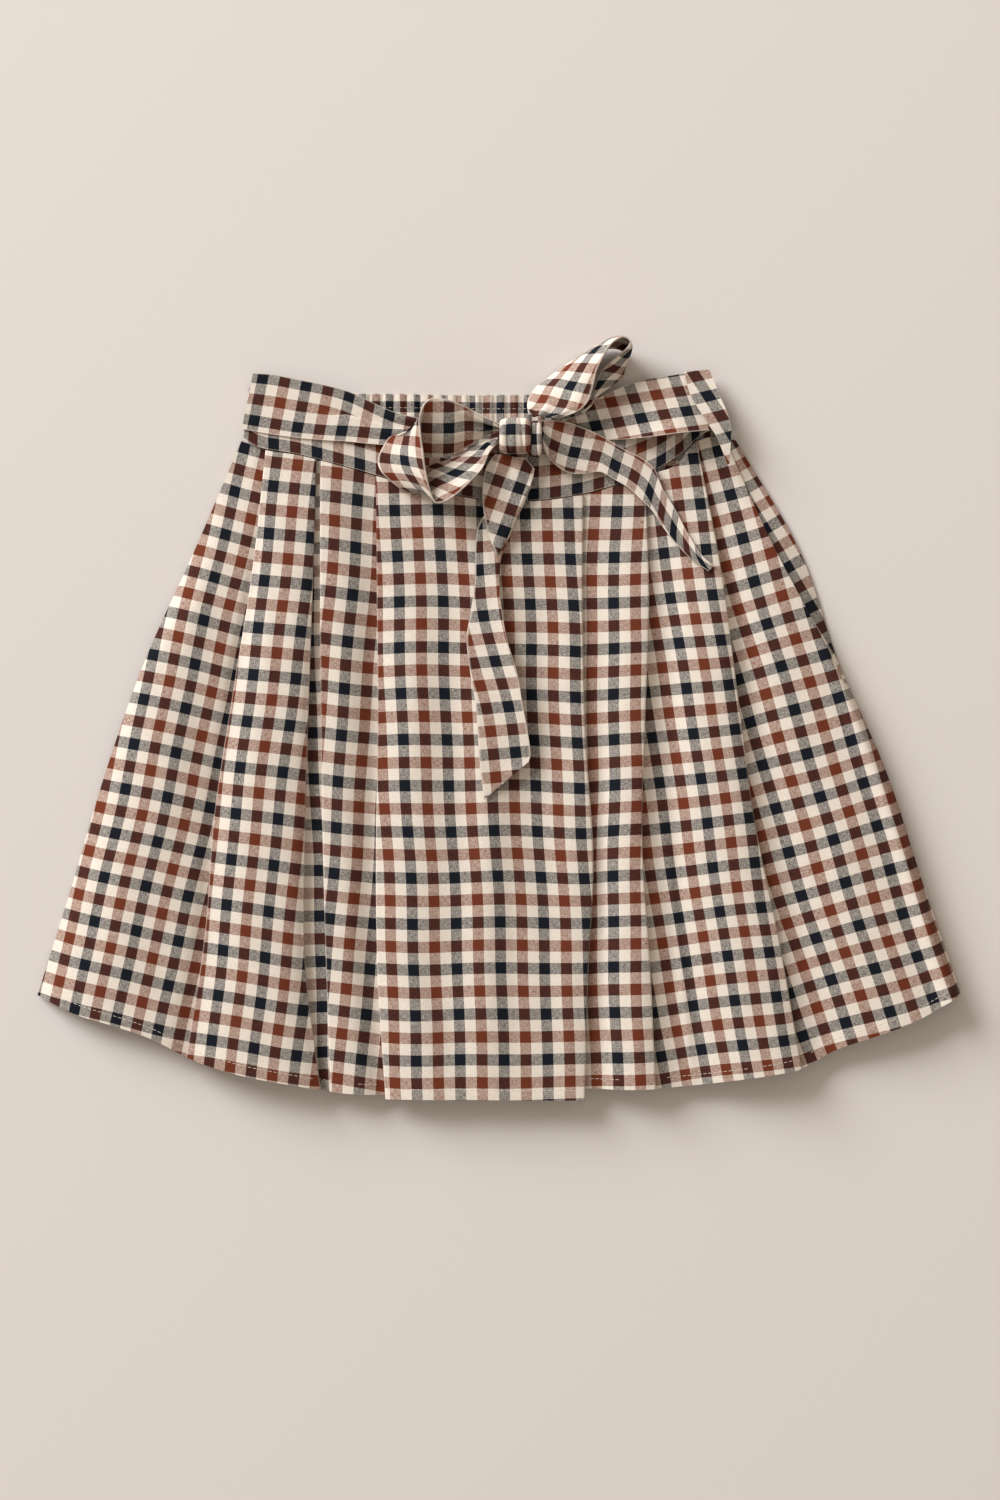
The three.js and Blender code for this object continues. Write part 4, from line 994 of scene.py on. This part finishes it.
# Check on the left tail: straight on its upper part, and below the turn along a curved navy stripe,
# whose x is given at the middle of each navy cell
TAIL_UPPER_CHECK = ((11.5, 132.5), NAVY_CELL, (24.0, -8.3), (-9.0, -24.6))
TAIL_TURN_ROW = 6
TAIL_STRIPE_Y = (115, 85.6, 59.3, 32.4, 6.2, -20.5, -47)
TAIL_STRIPE_X = (-12.5, -11.7, -8.9, -1.7, 5.8, 9.7, 12)
TAIL_NAVY_ROW_Y = 85.6
TAIL_REPEAT_DOWN = 26.5
TAIL_ROW_LEAN = 0.087


def tail_left_check(grid):
    x, y = grid[..., 0], grid[..., 1]
    stripe_x = read([-value for value in TAIL_STRIPE_Y], TAIL_STRIPE_X, -y)
    u = (x - stripe_x) / REPEAT + NAVY_CELL[0]
    v = (TAIL_NAVY_ROW_Y - y + TAIL_ROW_LEAN * (x - TAIL_STRIPE_X[1])) / TAIL_REPEAT_DOWN + NAVY_CELL[1]
    is_upper = (np.arange(len(grid)) < TAIL_TURN_ROW * RIBBON_STEPS)[:, None, None]
    return np.where(is_upper, straight_check(x, y, *TAIL_UPPER_CHECK), grid_of(u, v))


# Gathers: place across, drift outwards, width, height in mm and how far they reach
LOOP_GATHERS = [(0.2, -0.02, 0.08, 1.6, 16), (0.45, 0.0, 0.06, -1.2, 13), (0.62, 0.02, 0.07, 1.4, 20),
                (0.82, 0.03, 0.06, -1.0, 12)]
TAIL_GATHERS = [(0.25, -0.03, 0.08, 1.2, 14), (0.5, 0.02, 0.06, -1.0, 22), (0.7, 0.03, 0.08, 1.1, 18)]
BOW = [
    ("bow_loop_left", LOOP_LEFT, 1.5, (0.10, 0.40), LOOP_GATHERS, True, None, (0.130, 0.0345)),
    ("bow_loop_right", LOOP_RIGHT, 1.5, (0.30, 0.55), LOOP_GATHERS, True, None, (0.120, 0.0310)),
    ("bow_tail_left", TAIL_LEFT, 0.5, (0.20, 0.50), TAIL_GATHERS, False, tail_left_check, (0.205, 0.0300)),
    ("bow_tail_right", TAIL_RIGHT, 0.8, (0.45, 0.30), TAIL_GATHERS, False, None, (0.138, 0.0180)),
]
for node, rows, cup, start, gathers, both_ends, lay_check, flat in BOW:
    stretch = make_ribbon(f"{node}_cloth", rows, cup, start, gathers, both_ends, lay_check)
    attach(stretch, "root")
    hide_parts(node)

# Knot: the sash wrapped once round its own throat, and the end that passes beside it.
# Each is a band over the top of the bow, with the creases that pulling it tight leaves.
# Creases: place across, lean, width and height
KNOT_CREASES = [(-0.55, 0.15, 0.12, -0.8), (-0.1, -0.1, 0.16, 0.7), (0.45, 0.12, 0.1, -0.9)]
WRAP_CREASES = [(0.1, 0.2, 0.2, -0.5)]
KNOT_ROWS = 56
KNOT_COLUMNS = 30


def make_wrapped_band(name, box, start, creases):
    """A closed band round a rounded box: rows go round it, columns run across its width."""
    left, right, bottom, top, low, high = box
    turn = np.linspace(-0.5 * np.pi, 1.5 * np.pi, KNOT_ROWS)[:, None]
    across = np.linspace(-1, 1, KNOT_COLUMNS)
    shrink = np.sqrt(np.clip(1 - np.abs(across) ** 5, 0, 1)) * 0.35 + 0.65
    x = (left + right) / 2 + (right - left) / 2 * across
    y = (top + bottom) / 2 - (top - bottom) / 2 * squared(np.cos(turn), 0.7) * shrink
    z = (low + high) / 2 + (high - low) / 2 * squared(np.sin(turn), 0.7) * shrink
    over = smooth(np.sin(turn), -0.2, 0.5)
    for place, lean, width, rise in creases:
        ridge = rise * bump_at(across, place + lean * np.cos(turn), width) * over
        z = z + ridge
        y = y - 0.4 * ridge * np.cos(turn)
    grid = grid_of(x, y, z)
    arc = arc_of(grid[:, KNOT_COLUMNS // 2])[:, None]
    u = (x - left) / REPEAT * 1.15 + start[0] + 0.05 * np.sin(turn)
    return add_sheet(name, grid, grid_of(u, arc / REPEAT + start[1]), SASH_CLOTH, rounded=0.3)


# Each with its left, right, bottom, top, low and high limits
WRAPPED = [
    ("bow_knot", (0.5, 18, 152.2, 172, 10.2, 25), (0.05, 0.1), KNOT_CREASES, (0.060, 0.0175)),
    ("bow_wrap", (18.4, 24, 150.5, 170.5, 10.2, 22), (0.3, 0.35), WRAP_CREASES, (0.055, 0.0100)),
]
for node, box, start, creases, flat in WRAPPED:
    piece = make_wrapped_band(f"{node}_cloth", box, start, creases)
    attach(piece, "root")
    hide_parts(node)

# Surface and light: a pale warm tabletop under a broad cool light from the upper left.
# A weak warm fill opens its shadows.
FLOOR_COLOUR = (0.765, 0.700, 0.648)
FLOOR_HALF_SIDE = 3.0
FLOOR_GAP = 0.0002
KEY_PLACE = (-4.6, 4.4, 3.2)
KEY_SIZE = 4.0
KEY_POWER = 692
KEY_COLOUR = (0.931, 0.959, 1.0)
FILL_COLOUR = (1.0, 0.905, 0.80)
FILL_STRENGTH = 0.44


def make_floor():
    bpy.ops.object.select_all(action="DESELECT")
    bpy.ops.mesh.primitive_plane_add(size=2 * FLOOR_HALF_SIDE, location=(0, 0, -FLOOR_GAP))
    floor = bpy.context.object
    floor.name = "floor"
    material, surface = new_material("floor")
    feed(surface, {"Base Color": (*FLOOR_COLOUR, 1), "Roughness": 0.9, "Specular IOR Level": 0.1})
    floor.data.materials.append(material)


def add_area_light(name, place, size, power, colour):
    """A square light that faces the middle of the garment."""
    data = bpy.data.lights.new(name, "AREA")
    data.size = size
    data.energy = power
    data.color = colour
    lamp = bpy.data.objects.new(name, data)
    lamp.location = place
    x, y, z = -np.array(place) / np.linalg.norm(place)
    lamp.rotation_euler = (math.acos(-z), 0, math.atan2(y, x) - math.pi / 2)
    bpy.context.collection.objects.link(lamp)


make_floor()
add_area_light("key", KEY_PLACE, KEY_SIZE, KEY_POWER, KEY_COLOUR)
world = bpy.data.worlds.new("studio")
world.use_nodes = True
feed(world.node_tree.nodes["Background"], {"Color": (*FILL_COLOUR, 1), "Strength": FILL_STRENGTH})
bpy.context.scene.world = world
